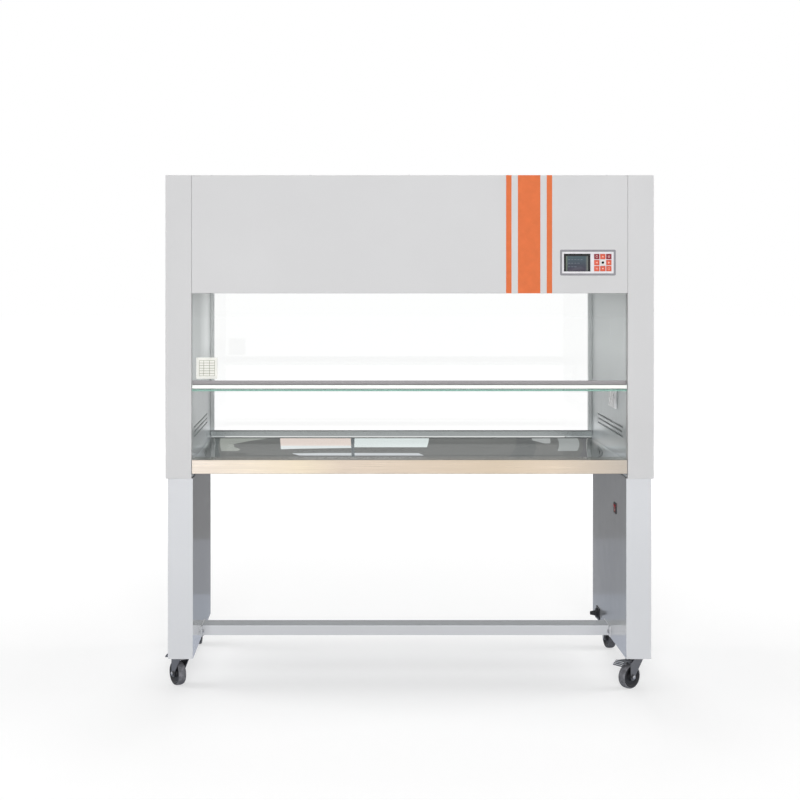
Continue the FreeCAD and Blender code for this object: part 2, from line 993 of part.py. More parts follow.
def pulley():
    """Right-hand cord pulley with a flat-bottomed groove."""
    bore = pulley_pin + running_gap
    root = cord_radius - cord_diameter / 2 - cord_gap
    half = pulley_width / 2
    points = [
        (bore, -half),
        (pulley_flange, -half),
        (root, -groove_floor / 2),
        (root, groove_floor / 2),
        (pulley_flange, half),
        (bore, half),
    ]
    face = polygon_face([(r, y) for r, y in points], lambda p: V(p[0], p[1], 0))
    wheel = face.revolve(V(0, 0, 0), V(0, 1, 0), 360)
    wheel.translate(V(pulley_x, sash_y, pulley_z))
    return wheel


def hexagon(radius):
    """Corners of a hexagon with the given distance from its centre to its flats."""
    corner = radius / math.cos(math.radians(30))
    turns = [math.radians(60 * i + 30) for i in range(6)]
    return [(corner * math.cos(turn), corner * math.sin(turn)) for turn in turns]


def sash_cord():
    """Right-hand cord: up from the sash, round the pulley and down to the counterweight."""
    section = hexagon(cord_diameter / 2)
    runs = []
    lug_top = glass_z + sash_height + rail_bend + rail_wall + lug_height
    weight_top = pulley_z - weight_drop
    for x, low in ((pulley_x - cord_radius, lug_top), (pulley_x + cord_radius, weight_top)):
        face = polygon_face([(x + p[0], sash_y + p[1]) for p in section], in_xy(low))
        runs.append(face.extrude(V(0, 0, pulley_z - low)))
    x = pulley_x + cord_radius
    face = polygon_face([(x + p[0], sash_y + p[1]) for p in section], in_xy(pulley_z))
    runs.append(face.revolve(V(pulley_x, sash_y, pulley_z), V(0, -1, 0), 180))
    return runs[0].fuse(runs[1:])


def counterweight():
    """Right-hand steel weight that hangs in the housing, rounded at its lower end."""
    x = pulley_x + cord_radius
    high = pulley_z - weight_drop
    half = weight_width / 2
    lows = [x - half, sash_y - half, high - weight_length]
    highs = [x + half, sash_y + half, high]
    return rounded_block(lows, highs, 2, -1, weight_chamfer)


def front_stripes():
    """Three vertical bands of film on the head."""
    bands = []
    right = inner_x - stripe_edge_gap
    for width in (narrow_stripe, wide_stripe, narrow_stripe):
        left = right - width
        bands.append(box(left, right, front_y - stripe_thickness, front_y, head_z, top_z))
        right = left - stripe_gap
    return Part.makeCompound(bands)


def collar_bounds(gap):
    """Limits in X and Z of the control panel's collar, grown by the gap."""
    low = head_z + panel_low
    return (
        panel_left + collar_inset - gap,
        panel_left + panel_width - collar_inset + gap,
        low + collar_inset - gap,
        low + panel_height - collar_inset + gap,
    )


def key_centres():
    """Name and centre of each key, row by row from the top left."""
    names = (
        ("top_left", "top_middle", "top_right"),
        ("middle_left", "centre", "middle_right"),
        ("bottom_left", "bottom_middle", "bottom_right"),
    )
    x0 = panel_left + key_inset_x + key_size / 2
    z_middle = head_z + panel_low + panel_height / 2
    centres = []
    for row, row_names in enumerate(names):
        for column, name in enumerate(row_names):
            x = x0 + column * key_pitch
            centres.append((name, x, z_middle + (1 - row) * key_pitch))
    return centres


def display_bounds(gap):
    """Limits in X and Z of the display, grown by the gap."""
    left = panel_left + display_inset
    middle = head_z + panel_low + panel_height / 2
    half = display_height / 2 + gap
    return left - gap, left + display_width + gap, middle - half, middle + half


def control_bezel():
    """Face plate of the control panel, with a collar behind it through the head's front."""
    low = head_z + panel_low
    face = rounded_rectangle(
        panel_left,
        panel_left + panel_width,
        low,
        low + panel_height,
        panel_corner,
        in_xz(front_y - panel_plate),
    )
    plate = face.extrude(V(0, panel_plate, 0))
    outer = collar_bounds(0)
    inner = collar_bounds(-collar_wall)
    collar = box(outer[0], outer[1], front_y - sheet, front_y + collar_depth, *outer[2:])
    hollow = box(inner[0], inner[1], front_y, front_y + collar_depth + sheet, *inner[2:])
    windows = []
    display = display_bounds(panel_gap)
    y0 = front_y - panel_plate - sheet
    windows.append(box(display[0], display[1], y0, front_y + sheet, *display[2:]))
    half = key_size / 2 + key_gap
    for _, x, z in key_centres():
        windows.append(box(x - half, x + half, y0, front_y + sheet, z - half, z + half))
    return plate.fuse(collar).cut([hollow] + windows)


def display_module():
    """Circuit board inside the collar with the display standing forward from it."""
    inner = collar_bounds(-collar_wall - panel_gap)
    board_y = front_y + board_inset
    board = box(inner[0], inner[1], board_y, board_y + board_thickness, *inner[2:])
    display = display_bounds(0)
    face_y = front_y - panel_plate + display_recess
    screen = box(display[0], display[1], face_y, board_y + board_thickness / 2, *display[2:])
    return board.fuse(screen)


def key(x, z):
    """A square key with a softened face and a flange that keeps it behind the plate."""
    half = key_size / 2
    face_y = front_y - panel_plate - key_proud
    cap = rounded_block(
        [x - half, face_y, z - half],
        [x + half, front_y + key_gap + key_flange_depth, z + half],
        1,
        -1,
        key_edge,
    )
    wide = half + key_flange
    flange_y = front_y + key_gap
    flange = box(x - wide, x + wide, flange_y, flange_y + key_flange_depth, z - wide, z + wide)
    return cap.fuse(flange)


def power_socket():
    """Wall outlet in the chamber: a softened plate with a raised face and five slots."""
    y0 = front_y + socket_setback
    z0 = table_z + socket_low
    plate = rounded_block(
        [inner_x - socket_depth, y0, z0],
        [inner_x, y0 + socket_width, z0 + socket_height],
        0,
        -1,
        socket_edge,
    )
    face_x = inner_x - socket_depth - socket_face_step
    face = box(
        face_x,
        inner_x - socket_depth + socket_face_step,
        y0 + socket_face_inset,
        y0 + socket_width - socket_face_inset,
        z0 + socket_face_inset,
        z0 + socket_height - socket_face_inset,
    )
    y = y0 + socket_width / 2
    z = z0 + socket_height / 2
    upright = (slot_narrow, slot_blade)
    level = (slot_blade, slot_narrow)
    places = [(0.0, earth_slot, *upright)]
    for side in (-1, 1):
        places.append((side * upper_slots[1], upper_slots[0], *upright))
        places.append((side * lower_slots[1], lower_slots[0], *level))
    slots = []
    for dy, dz, width, height in places:
        slots.append(
            box(
                face_x - sheet,
                face_x + pin_slot_depth,
                y + dy - width / 2,
                y + dy + width / 2,
                z + dz - height / 2,
                z + dz + height / 2,
            )
        )
    return plate.fuse(face).cut(slots)


def switch_centre():
    return front_y + switch_setback, leg_top_z - switch_drop


def switch_frame():
    """Snap-in switch body with a rim on the leg's inner face and bearings for the rocker."""
    y, z = switch_centre()
    half_w = switch_width / 2
    half_h = switch_height / 2
    rim = rounded_block(
        [leg_in_x - switch_flange, y - half_w, z - half_h],
        [leg_in_x, y + half_w, z + half_h],
        0,
        -1,
        switch_flange / 2,
    )
    shell_w = half_w - switch_flange
    shell_h = half_h - switch_flange
    x1 = leg_in_x + switch_body
    body = box(leg_in_x - sheet / 2, x1, y - shell_w, y + shell_w, z - shell_h, z + shell_h)
    cut_w = rocker_width / 2 + rocker_play
    cut_h = rocker_height / 2 + rocker_gap
    mouth_x = leg_in_x - sheet - switch_flange
    cavity = box(mouth_x, x1 - switch_wall, y - cut_w, y + cut_w, z - cut_h, z + cut_h)
    pin_length = rocker_width + 2 * rocker_pin_length + 2 * rocker_play
    bearing = Part.makeCylinder(
        rocker_pin + running_gap,
        pin_length,
        V(leg_in_x, y - pin_length / 2, z),
        V(0, 1, 0),
    )
    return rim.fuse(body).cut([cavity, bearing])


def power_rocker():
    """Rocker with two sloping faces, at rest with its lower end pressed in."""
    y, z = switch_centre()
    half = rocker_height / 2
    x = leg_in_x
    outline = [
        (x - rocker_proud, z - half),
        (x - rocker_proud / 2, z),
        (x - rocker_proud, z + half),
        (x - rocker_proud + rocker_depth, z + half),
        (x - rocker_proud + rocker_depth, z - half),
    ]
    face = polygon_face(outline, in_xz(y - rocker_width / 2))
    rocker = face.extrude(V(0, rocker_width, 0))
    pin_length = rocker_width + 2 * rocker_pin_length
    pin = Part.makeCylinder(rocker_pin, pin_length, V(x, y - pin_length / 2, z), V(0, 1, 0))
    rocker = rocker.fuse(pin)
    rocker.rotate(V(x, y, z), V(0, 1, 0), -rocker_tilt)
    return rocker


def leg():
    """Right-hand leg: a deep folded box with a floor plate."""
    y0 = front_y + leg_setback
    y1 = back_y - leg_back_gap
    outer = rounded_rectangle(leg_in_x, leg_out_x, y0, y1, bend + sheet, in_xy(caster_height))
    inner = rounded_rectangle(
        leg_in_x + sheet,
        leg_out_x - sheet,
        y0 + sheet,
        y1 - sheet,
        bend,
        in_xy(caster_height + sheet),
    )
    tower = outer.extrude(V(0, 0, leg_height))
    return tower.cut(inner.extrude(V(0, 0, leg_height)))


def leg_with_fittings():
    """The right-hand leg with its holes for the switch and the cable."""
    y, z = switch_centre()
    half_w = switch_width / 2 - switch_flange + panel_gap
    half_h = switch_height / 2 - switch_flange + panel_gap
    x0 = leg_in_x - sheet
    hole = box(x0, leg_in_x + 2 * sheet, y - half_w, y + half_w, z - half_h, z + half_h)
    oy, oz = outlet_centre()
    bore = Part.makeCylinder(gland_radius - outlet_plate, 3 * sheet, V(x0, oy, oz), V(1, 0, 0))
    return leg().cut([hole, bore])


def outlet_centre():
    return back_y - outlet_back_gap, caster_height + outlet_rise


def cable_outlet():
    """Cable outlet: a plate, a gland nut and a tapered nose with a bore for the supply lead."""
    y, z = outlet_centre()
    plate = rounded_block(
        [leg_in_x - outlet_plate, y - outlet_width / 2, z - outlet_height / 2],
        [leg_in_x, y + outlet_width / 2, z + outlet_height / 2],
        0,
        -1,
        outlet_plate / 2,
    )
    inward = V(-1, 0, 0)
    nut_face = polygon_face([(y + p[0], z + p[1]) for p in hexagon(nut_radius)], in_yz(leg_in_x))
    nut = nut_face.extrude(inward * (outlet_plate + nut_length))
    start = V(leg_in_x, y, z)
    length = outlet_plate + nut_length + gland_length
    nose = Part.makeCone(gland_radius, gland_bore + sheet, length, start, inward)
    bore = Part.makeCylinder(gland_bore, length + 2 * sheet, V(leg_in_x + sheet, y, z), inward)
    return plate.fuse([nut, nose]).cut(bore)


def stretcher_bar():
    """Rectangular tube between the legs with a bolting plate at each end."""
    x = leg_in_x
    low = caster_height + bar_rise
    y0 = front_y + bar_setback
    y1 = y0 + bar_depth
    outer = box(-x, x, y0, y1, low, low + bar_height)
    hollow = box(
        -x - sheet,
        x + sheet,
        y0 + bar_wall,
        y1 - bar_wall,
        low + bar_wall,
        low + bar_height - bar_wall,
    )
    bar = outer.cut(hollow)
    plates = []
    for side in (-1, 1):
        inner = side * (x - bar_plate)
        edge = side * x
        plates.append(
            box(
                min(inner, edge),
                max(inner, edge),
                y0 - bar_plate_margin,
                y1 + bar_plate_margin,
                low,
                low + bar_height,
            )
        )
    return bar.fuse(plates).removeSplitter()


def caster_spots():
    """Name, place and trail angle of each caster."""
    spots = []
    ends = (("front", front_y + front_caster_setback), ("rear", back_y - rear_caster_back_gap))
    for end, y in ends:
        for hand, side in (("left", -1), ("right", 1)):
            name = end + "_" + hand
            spots.append((name, side * (half_width - caster_inset), y, trail_angles[name]))
    return spots


def placed(shape, x, y, angle):
    """A caster piece turned to its rest angle and moved under its leg."""
    shape.rotate(V(0, 0, 0), V(0, 0, 1), angle)
    shape.translate(V(x, y, 0))
    return shape


def caster_plate():
    """Top plate, ball race ring and king pin, which is riveted under the crown."""
    half = plate_size / 2
    low = caster_height - plate_thickness
    plate = box(-half, half, -half, half, low, caster_height)
    crown_top = caster_height - plate_thickness - crown_drop
    race_low = crown_top + race_gap
    race = Part.makeCylinder(race_radius, low - race_low, V(0, 0, race_low))
    pin_low = crown_top - crown_height - race_gap
    pin = Part.makeCylinder(king_pin, low - pin_low, V(0, 0, pin_low))
    head = Part.makeCylinder(king_head, king_head_height, V(0, 0, pin_low - king_head_height))
    return plate.fuse([race, pin, head])


def fork_cheek(y):
    """One side of the fork, narrowing from the crown to a round end at the axle."""
    axle_z = wheel_diameter / 2
    top = caster_height - plate_thickness - crown_drop - crown_height
    r = fork_end_radius
    lean = math.atan2(trail - crown_radius / 2, top - axle_z)
    left = (trail - r * math.cos(lean), axle_z + r * math.sin(lean))
    right = (trail + r, axle_z)
    bottom = (trail, axle_z - r)
    place = in_xz(y)
    crown = crown_radius - fork_sheet
    over = [right, (trail + r, top - crown_height), (crown, top + fork_sheet)]
    over += [(-crown, top + fork_sheet), left]
    edges = [Part.Arc(place(left), place(bottom), place(right)).toShape()]
    for a, b in zip(over, over[1:]):
        edges.append(Part.LineSegment(place(a), place(b)).toShape())
    return Part.Face(Part.Wire(edges)).extrude(V(0, fork_sheet, 0))


def caster_fork(has_pedal):
    """Swivel fork: round crown, two cheeks, the axle bolt and, with a brake, the pedal's pin."""
    top = caster_height - plate_thickness - crown_drop
    low = top - crown_height
    crown = Part.makeCylinder(crown_radius, crown_height, V(0, 0, low))
    bore = Part.makeCylinder(king_pin + running_gap, crown_height, V(0, 0, low))
    inside = wheel_width / 2 + fork_gap
    cheeks = [fork_cheek(inside), fork_cheek(-inside - fork_sheet)]
    outside = inside + fork_sheet
    across = V(0, 1, 0)
    axle_z = wheel_diameter / 2
    bars = [Part.makeCylinder(axle_radius, 2 * outside, V(trail, -outside, axle_z), across)]
    for y in (-outside - bolt_height, outside):
        face = polygon_face([(trail + p[0], axle_z + p[1]) for p in hexagon(bolt_radius)], in_xz(y))
        bars.append(face.extrude(across * bolt_height))
    if has_pedal:
        start = V(pedal_pivot_x, -outside, pedal_pivot_z)
        bars.append(Part.makeCylinder(pedal_pin, 2 * outside, start, across))
    return crown.fuse(cheeks + bars).cut(bore)


def caster_wheel():
    """Tyred wheel with bevelled edges and a bore for the axle bolt."""
    radius = wheel_diameter / 2
    half = wheel_width / 2
    bore = axle_radius + running_gap
    points = [
        (bore, -half),
        (radius - wheel_edge, -half),
        (radius, -half + wheel_edge),
        (radius, half - wheel_edge),
        (radius - wheel_edge, half),
        (bore, half),
    ]
    face = polygon_face(points, lambda p: V(p[0], p[1], 0))
    wheel = face.revolve(V(0, 0, 0), V(0, 1, 0), 360)
    wheel.translate(V(trail, 0, radius))
    return wheel


def pedal_pad(bend_x, low, high):
    """Ribbed pad that bends down from the end of the pedal's plate."""
    half = pad_width / 2
    solids = [box(bend_x, bend_x + pad_length, -half, half, low, high)]
    for i in range(pad_ribs):
        x = bend_x + pad_length - rib_step * (i + 0.5)
        x0 = x - pad_rib_width / 2
        x1 = x + pad_rib_width / 2
        solids.append(box(x0, x1, -half, half, low, high + pad_rib_height))
    pad = solids[0].fuse(solids[1:])
    pad.rotate(V(bend_x, 0, high), V(0, 1, 0), pad_slope)
    return pad


def brake_pedal():
    """Pressed pedal on its barrel, with a ribbed pad at the tip and a shoe over the tyre."""
    x, z = pedal_pivot_x, pedal_pivot_z
    across = V(0, 1, 0)
    half = pedal_width / 2
    barrel = Part.makeCylinder(pedal_barrel, pedal_width, V(x, -half, z), across)
    high = z + pedal_barrel
    low = high - pedal_sheet
    bend_x = x + pedal_length
    plate = box(x, bend_x, -half, half, low, high)
    pad = pedal_pad(bend_x, low, high)
    shoe_x = x + shoe_start
    shoe_half = half / 2
    shoe_low = z - 2 * pedal_barrel
    shoe_high = high - pedal_sheet / 2
    shoe = box(shoe_x, shoe_x + shoe_length, -shoe_half, shoe_half, shoe_low, shoe_high)
    solid = barrel.fuse([plate, pad, shoe])
    solid.rotate(V(x, 0, z), across, pedal_travel - pedal_rise)
    radius = wheel_diameter / 2
    width = wheel_width + 2 * fork_gap
    tyre = Part.makeCylinder(radius + shoe_gap, width, V(trail, -width / 2, radius), across)
    pin = Part.makeCylinder(pedal_pin + running_gap, pedal_width, V(x, -half, z), across)
    pressed = solid.cut([tyre, pin])
    pressed.rotate(V(x, 0, z), across, -pedal_travel)
    return pressed


def export(node, shape):
    shape.exportStep("parts/" + node + ".step")


def export_pair(node, shape):
    """A right-hand piece and its mirror image."""
    export(node + "_right", shape)
    export(node + "_left", mirrored(shape))


def build_cabinet():
    export_pair("side_housing", side_housing())
    export_pair("inner_wall", inner_wall())
    export("head_front_panel", head_front_panel())
    export("head_rear_panel", head_rear_panel())
    export("top_cover", top_cover())
    export("pre_filter", pre_filter())
    export("plenum_box", plenum_box())
    export("hepa_filter", hepa_filter())
    export("diffuser_plate", diffuser_plate())
    export("blowers", blowers())
    export("impeller_left", impeller(-blower_offset))
    export("impeller_right", impeller(blower_offset))
    for node, (radius, y) in zip(("lamp_tube", "germicidal_tube"), lamp_places()):
        export(node, tube(radius, y))
    export("lamp_holders", lamp_holders())
    export("work_table", work_table())
    export("table_beams", table_beams())
    export("rear_glass_frame", rear_glass_frame())
    export("rear_glass", rear_glass())
    export("front_stripes", front_stripes())
    export("power_socket", power_socket())


def build_sash():
    export("sash_glass", sash_glass())
    export("sash_handle", sash_handle())
    export("sash_top_rail", sash_top_rail())
    guide = sash_guide()
    export("sash_guides", Part.makeCompound([guide, mirrored(guide)]))
    export_pair("pulley", pulley())
    cord = sash_cord()
    export("sash_cords", Part.makeCompound([cord, mirrored(cord)]))
    export_pair("counterweight", counterweight())


def build_controls():
    export("control_bezel", control_bezel())
    export("display_module", display_module())
    for name, x, z in key_centres():
        export("key_" + name, key(x, z))


def build_stand():
    export("leg_left", mirrored(leg()))
    export("leg_right", leg_with_fittings())
    export("stretcher_bar", stretcher_bar())
    export("switch_frame", switch_frame())
    export("power_rocker", power_rocker())
    export("cable_outlet", cable_outlet())
    plates = []
    for name, x, y, angle in caster_spots():
        plates.append(placed(caster_plate(), x, y, 0))
        braked = name.startswith("front")
        export("caster_fork_" + name, placed(caster_fork(braked), x, y, angle))
        export("caster_wheel_" + name, placed(caster_wheel(), x, y, angle))
        if braked:
            export("brake_pedal_" + name, placed(brake_pedal(), x, y, angle))
    export("caster_plates", Part.makeCompound(plates))


build_cabinet()
build_sash()
build_controls()
build_stand()
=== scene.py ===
import json
import math

import bmesh
import bpy
from mathutils import Matrix, Vector


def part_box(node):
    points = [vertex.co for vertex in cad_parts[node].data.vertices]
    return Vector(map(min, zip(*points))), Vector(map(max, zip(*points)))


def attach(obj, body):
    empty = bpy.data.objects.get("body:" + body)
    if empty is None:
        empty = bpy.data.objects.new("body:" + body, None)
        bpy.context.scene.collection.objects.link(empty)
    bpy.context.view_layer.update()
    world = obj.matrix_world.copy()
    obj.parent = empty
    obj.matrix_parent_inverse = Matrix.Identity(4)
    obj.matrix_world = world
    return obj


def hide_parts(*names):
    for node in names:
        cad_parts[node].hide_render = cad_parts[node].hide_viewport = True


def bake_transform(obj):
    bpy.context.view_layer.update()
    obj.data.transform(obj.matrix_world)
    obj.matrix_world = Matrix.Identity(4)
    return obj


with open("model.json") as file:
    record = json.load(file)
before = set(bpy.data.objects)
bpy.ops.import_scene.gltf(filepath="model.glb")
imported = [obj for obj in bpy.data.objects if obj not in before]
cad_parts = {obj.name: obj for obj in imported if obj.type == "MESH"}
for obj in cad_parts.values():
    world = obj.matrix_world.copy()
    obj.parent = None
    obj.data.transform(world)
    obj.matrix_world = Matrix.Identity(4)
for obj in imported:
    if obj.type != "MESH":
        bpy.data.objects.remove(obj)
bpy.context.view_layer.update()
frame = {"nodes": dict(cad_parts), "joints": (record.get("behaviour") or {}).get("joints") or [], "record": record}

nodes = frame["nodes"]

# Camera, from the photograph's perspective
camera_place = (-0.204, -5.205, 1.297)
camera_lens = 70.8
camera_shift = (0.071, -0.161)

# Light: the white surroundings as the object and as the eye get them, and the floor's own glow
ambient_level = 0.10
white_level = 1.0
floor_half = 40.0
floor_tone = 0.5
near_glow = 0.54  # up to near_radius from the origin
far_glow = 0.955  # from far_radius on
near_radius = 1.2
far_radius = 9.0

# Square lamps: name, place, height on the Z axis that it points at, size and power in watts
lamps = (
    ("key_light", (-0.2, -7.0, 2.3), 0.9, 2.4, 322.0),
    ("back_light", (0.0, 7.0, 3.2), 1.0, 3.0, 190.0),
    ("left_light", (-7.0, 0.6, 3.2), 1.0, 3.0, 190.0),
    ("right_light", (7.0, 0.6, 3.2), 1.0, 3.0, 190.0),
    ("top_light", (0.0, 0.0, 5.0), 0.8, 5.0, 75.0),
)

# Cards far behind the cabinet, above the camera's view through it. The polished bed mirrors them.
# Each is an outline in X and Z and a colour as seen on screen, from the rear one to the front one.
card_y = 5.0
card_gap = 0.004
card_gain = 1.18  # makes up for what the bed takes from the light
cards = (
    (((-1.6, 1.165), (2.3, 1.165), (2.3, 5.2), (-1.6, 5.2)), (120, 121, 120)),
    (((-1.23, 4.73), (-1.11, 4.73), (-1.00, 1.53), (-1.10, 1.53)), (105, 110, 110)),
    (((-1.11, 4.73), (-0.69, 4.73), (-0.87, 3.97), (-0.96, 3.39), (-0.94, 2.95), (-0.89, 2.61),
      (-0.90, 2.35), (-1.01, 2.35)), (165, 168, 163)),
    (((-0.67, 4.73), (-0.15, 4.73), (-0.15, 3.15), (-0.63, 3.15)), (240, 222, 215)),
    (((-0.63, 3.15), (-0.15, 3.15), (-0.15, 2.79), (-0.49, 2.69), (-0.62, 2.60)),
     (232, 236, 240)),
    (((-0.15, 4.73), (-0.12, 4.73), (-0.13, 1.53), (-0.15, 1.53)), (115, 120, 123)),
    (((-0.12, 4.73), (0.43, 4.73), (0.36, 2.90), (-0.13, 2.90)), (230, 239, 248)),
    (((-0.54, 2.00), (-0.36, 2.06), (-0.15, 2.06), (-0.15, 1.70), (-0.49, 1.70)),
     (205, 208, 212)),
    (((-0.13, 2.06), (0.29, 2.04), (0.32, 1.70), (-0.13, 1.70)), (205, 208, 212)),
    (((1.07, 4.73), (1.19, 4.73), (1.02, 1.53), (0.87, 1.53)), (110, 112, 112)),
    (((1.19, 4.73), (1.32, 4.73), (1.23, 3.54), (1.19, 3.48), (1.16, 3.85), (1.14, 4.09)),
     (178, 180, 180)),
    (((1.37, 4.73), (1.52, 4.73), (1.34, 2.35), (1.21, 2.35)), (165, 168, 168)),
    (((1.53, 4.73), (1.61, 4.73), (1.39, 1.53), (1.32, 1.53)), (115, 115, 117)),
)

# Grey bands just above the floor, under the cabinet and behind it, which only mirrors see. They
# darken the glossy legs. Each has its start and end along Y, and its colour as seen on screen.
floor_bands = (
    ((-0.4, 0.45), (182, 187, 199)),
    ((0.45, 1.1), (154, 159, 168)),
    ((1.1, 2.4), (140, 142, 147)),
    ((2.4, 9.0), (124, 124, 125)),
)
band_half = 3.0
band_z = 0.002


def srgb(red, green, blue):
    """A colour given as it looks on screen, 0 to 255, as linear values."""
    linear = []
    for value in (red, green, blue):
        share = value / 255
        if share <= 0.04045:
            linear.append(share / 12.92)
        else:
            linear.append(((share + 0.055) / 1.055) ** 2.4)
    return tuple(linear) + (1.0,)


def scaled(colour, factor):
    """The linear colour made darker or lighter, up to white."""
    return tuple(min(c * factor, 1.0) for c in colour[:3]) + (1.0,)


class Surface:
    """A material whose colour, roughness and relief vary with the place on the part."""

    def __init__(self, name):
        self.material = bpy.data.materials.new(name)
        self.material.use_nodes = True
        self.tree = self.material.node_tree
        self.shader = self.tree.nodes["Principled BSDF"]
        self.place = self.tree.nodes.new("ShaderNodeTexCoord").outputs["Object"]

    def set(self, **values):
        """Plain numbers and colours go straight on the shader's own sockets."""
        for name, value in values.items():
            self.shader.inputs[name.replace("_", " ").title()].default_value = value
        return self

    def stretched(self, stretch):
        mapping = self.tree.nodes.new("ShaderNodeMapping")
        mapping.inputs["Scale"].default_value = stretch
        self.tree.links.new(self.place, mapping.inputs["Vector"])
        return mapping.outputs["Vector"]

    def noise(self, scale, detail=3.0, stretch=(1, 1, 1)):
        """Noise with about this many features in a metre."""
        noise = self.tree.nodes.new("ShaderNodeTexNoise")
        noise.inputs["Scale"].default_value = scale
        noise.inputs["Detail"].default_value = detail
        self.tree.links.new(self.stretched(stretch), noise.inputs["Vector"])
        return noise.outputs["Fac"]

    def cloudy(self, colour, low, high, scale, detail):
        """The colour, from low to high times as bright from cloud to cloud."""
        cloud = self.spread(self.noise(scale, detail), 0.0, 1.0)
        return self.mixed(cloud, scaled(colour, low), scaled(colour, high))

    def lined(self, lines):
        """The lines with broad clouds over them, from 0 to 1."""
        fine = self.math("MULTIPLY", lines, 0.6)
        broad = self.math("MULTIPLY", self.noise(5.0, 3.0), 0.4)
        return self.spread(self.math("ADD", fine, broad), 0.0, 1.0)

    def axis(self, name):
        """The place along X, Y or Z."""
        parts = self.tree.nodes.new("ShaderNodeSeparateXYZ")
        self.tree.links.new(self.place, parts.inputs["Vector"])
        return parts.outputs[name]

    def along(self, axis, start, end):
        """0 before start and 1 after end along X, Y or Z."""
        return self.spread(self.axis(axis), 0.0, 1.0, start, end)

    def spread(self, value, low, high, start=0.3, end=0.7):
        """The value's range from start to end becomes low to high."""
        ranger = self.tree.nodes.new("ShaderNodeMapRange")
        ranger.inputs["From Min"].default_value = start
        ranger.inputs["From Max"].default_value = end
        ranger.inputs["To Min"].default_value = low
        ranger.inputs["To Max"].default_value = high
        self.tree.links.new(value, ranger.inputs["Value"])
        return ranger.outputs["Result"]

    def math(self, operation, first, second):
        node = self.tree.nodes.new("ShaderNodeMath")
        node.operation = operation
        for socket, value in zip(node.inputs, (first, second)):
            if isinstance(value, (int, float)):
                socket.default_value = value
            else:
                self.tree.links.new(value, socket)
        return node.outputs["Value"]

    def blended(self, factor, first, second):
        """A number between first and second, each a number or a socket."""
        span = self.math("SUBTRACT", second, first)
        return self.math("ADD", first, self.math("MULTIPLY", span, factor))

    def mixed(self, factor, first, second):
        """A colour between first and second, each a colour or a socket."""
        mix = self.tree.nodes.new("ShaderNodeMix")
        mix.data_type = "RGBA"
        self.tree.links.new(factor, mix.inputs["Factor"])
        for socket, value in ((mix.inputs[6], first), (mix.inputs[7], second)):
            if isinstance(value, tuple):
                socket.default_value = value
            else:
                self.tree.links.new(value, socket)
        return mix.outputs[2]

    def ramp(self, value, stops):
        """A colour from (value, colour) stops, for a value from 0 to 1."""
        node = self.tree.nodes.new("ShaderNodeValToRGB")
        band = node.color_ramp.elements
        while len(band) < len(stops):
            band.new(0.5)
        for element, (position, colour) in zip(band, stops):
            element.position = position
            element.color = colour
        self.tree.links.new(value, node.inputs["Fac"])
        return node.outputs["Color"]

    def feed(self, socket, value):
        self.tree.links.new(value, self.shader.inputs[socket])
        return self

    def relief(self, height, depth):
        bump = self.tree.nodes.new("ShaderNodeBump")
        bump.inputs["Strength"].default_value = 1.0
        bump.inputs["Distance"].default_value = depth
        self.tree.links.new(height, bump.inputs["Height"])
        self.tree.links.new(bump.outputs["Normal"], self.shader.inputs["Normal"])
        return self


def painted(name, colour):
    """Powder coat: a faint cloudiness, a fine orange peel and an uneven sheen."""
    s = Surface(name)
    s.feed("Base Color", s.cloudy(colour, 0.975, 1.015, 3.0, 4.0))
    s.feed("Roughness", s.spread(s.noise(14.0, 4.0), 0.37, 0.47))
    return s.relief(s.noise(420.0, 2.0), 0.00004).material


# Edges of the painted shade on the stretcher's top, each from start to end of the change: along Z, X and X
stretcher_top = (0.1388, 0.1392)
stretcher_left = (-0.665, -0.664)
stretcher_right = (0.664, 0.665)


def leg_paint():
    """Glossy paint of the legs and the stretcher, with painted shade darkening the stretcher's top."""
    s = Surface("leg_paint")
    clean = s.cloudy(srgb(217, 219, 223), 0.975, 1.015, 3.0, 4.0)
    above = s.along("Z", *stretcher_top)
    between = s.math("SUBTRACT", s.along("X", *stretcher_left), s.along("X", *stretcher_right))
    stretcher_painted_shade = s.math("MULTIPLY", above, between)
    # Painted shade: the stretcher's top turns a darker grey than the rest of the paint.
    s.feed("Base Color", s.mixed(stretcher_painted_shade, clean, srgb(164, 172, 177)))
    s.feed("Roughness", s.spread(s.noise(14.0, 4.0), 0.16, 0.22))
    s.set(coat_weight=1.0, coat_roughness=0.12)
    return s.relief(s.noise(420.0, 2.0), 0.00001).material


def brushed(name, colour, grain, roughness=0.34, depth=0.00002):
    """Metal with fine lines, close together across the grain and long along it."""
    s = Surface(name)
    s.set(metallic=1.0)
    lines = s.noise(1.0, 3.0, grain)
    s.feed("Base Color", s.mixed(s.lined(lines), scaled(colour, 0.9), scaled(colour, 1.08)))
    s.feed("Roughness", s.spread(lines, roughness - 0.06, roughness + 0.08))
    return s.relief(lines, depth).material


def moulded(name, colour, roughness=0.4, grain=900.0, depth=0.00003):
    """Moulded plastic with a fine grain and slightly uneven gloss."""
    s = Surface(name)
    s.feed("Base Color", s.cloudy(colour, 0.94, 1.04, 40.0, 3.0))
    s.feed("Roughness", s.spread(s.noise(60.0, 3.0), roughness - 0.05, roughness + 0.06))
    return s.relief(s.noise(grain, 2.0), depth).material


def rubber(name, colour):
    """Rough rubber with dust on it."""
    s = Surface(name)
    dust = s.spread(s.noise(90.0, 5.0), 0.0, 1.0, 0.45, 0.75)
    s.feed("Base Color", s.mixed(dust, colour, scaled(colour, 1.9)))
    s.feed("Roughness", s.spread(s.noise(120.0, 4.0), 0.55, 0.75))
    return s.relief(s.noise(1300.0, 3.0), 0.00006).material


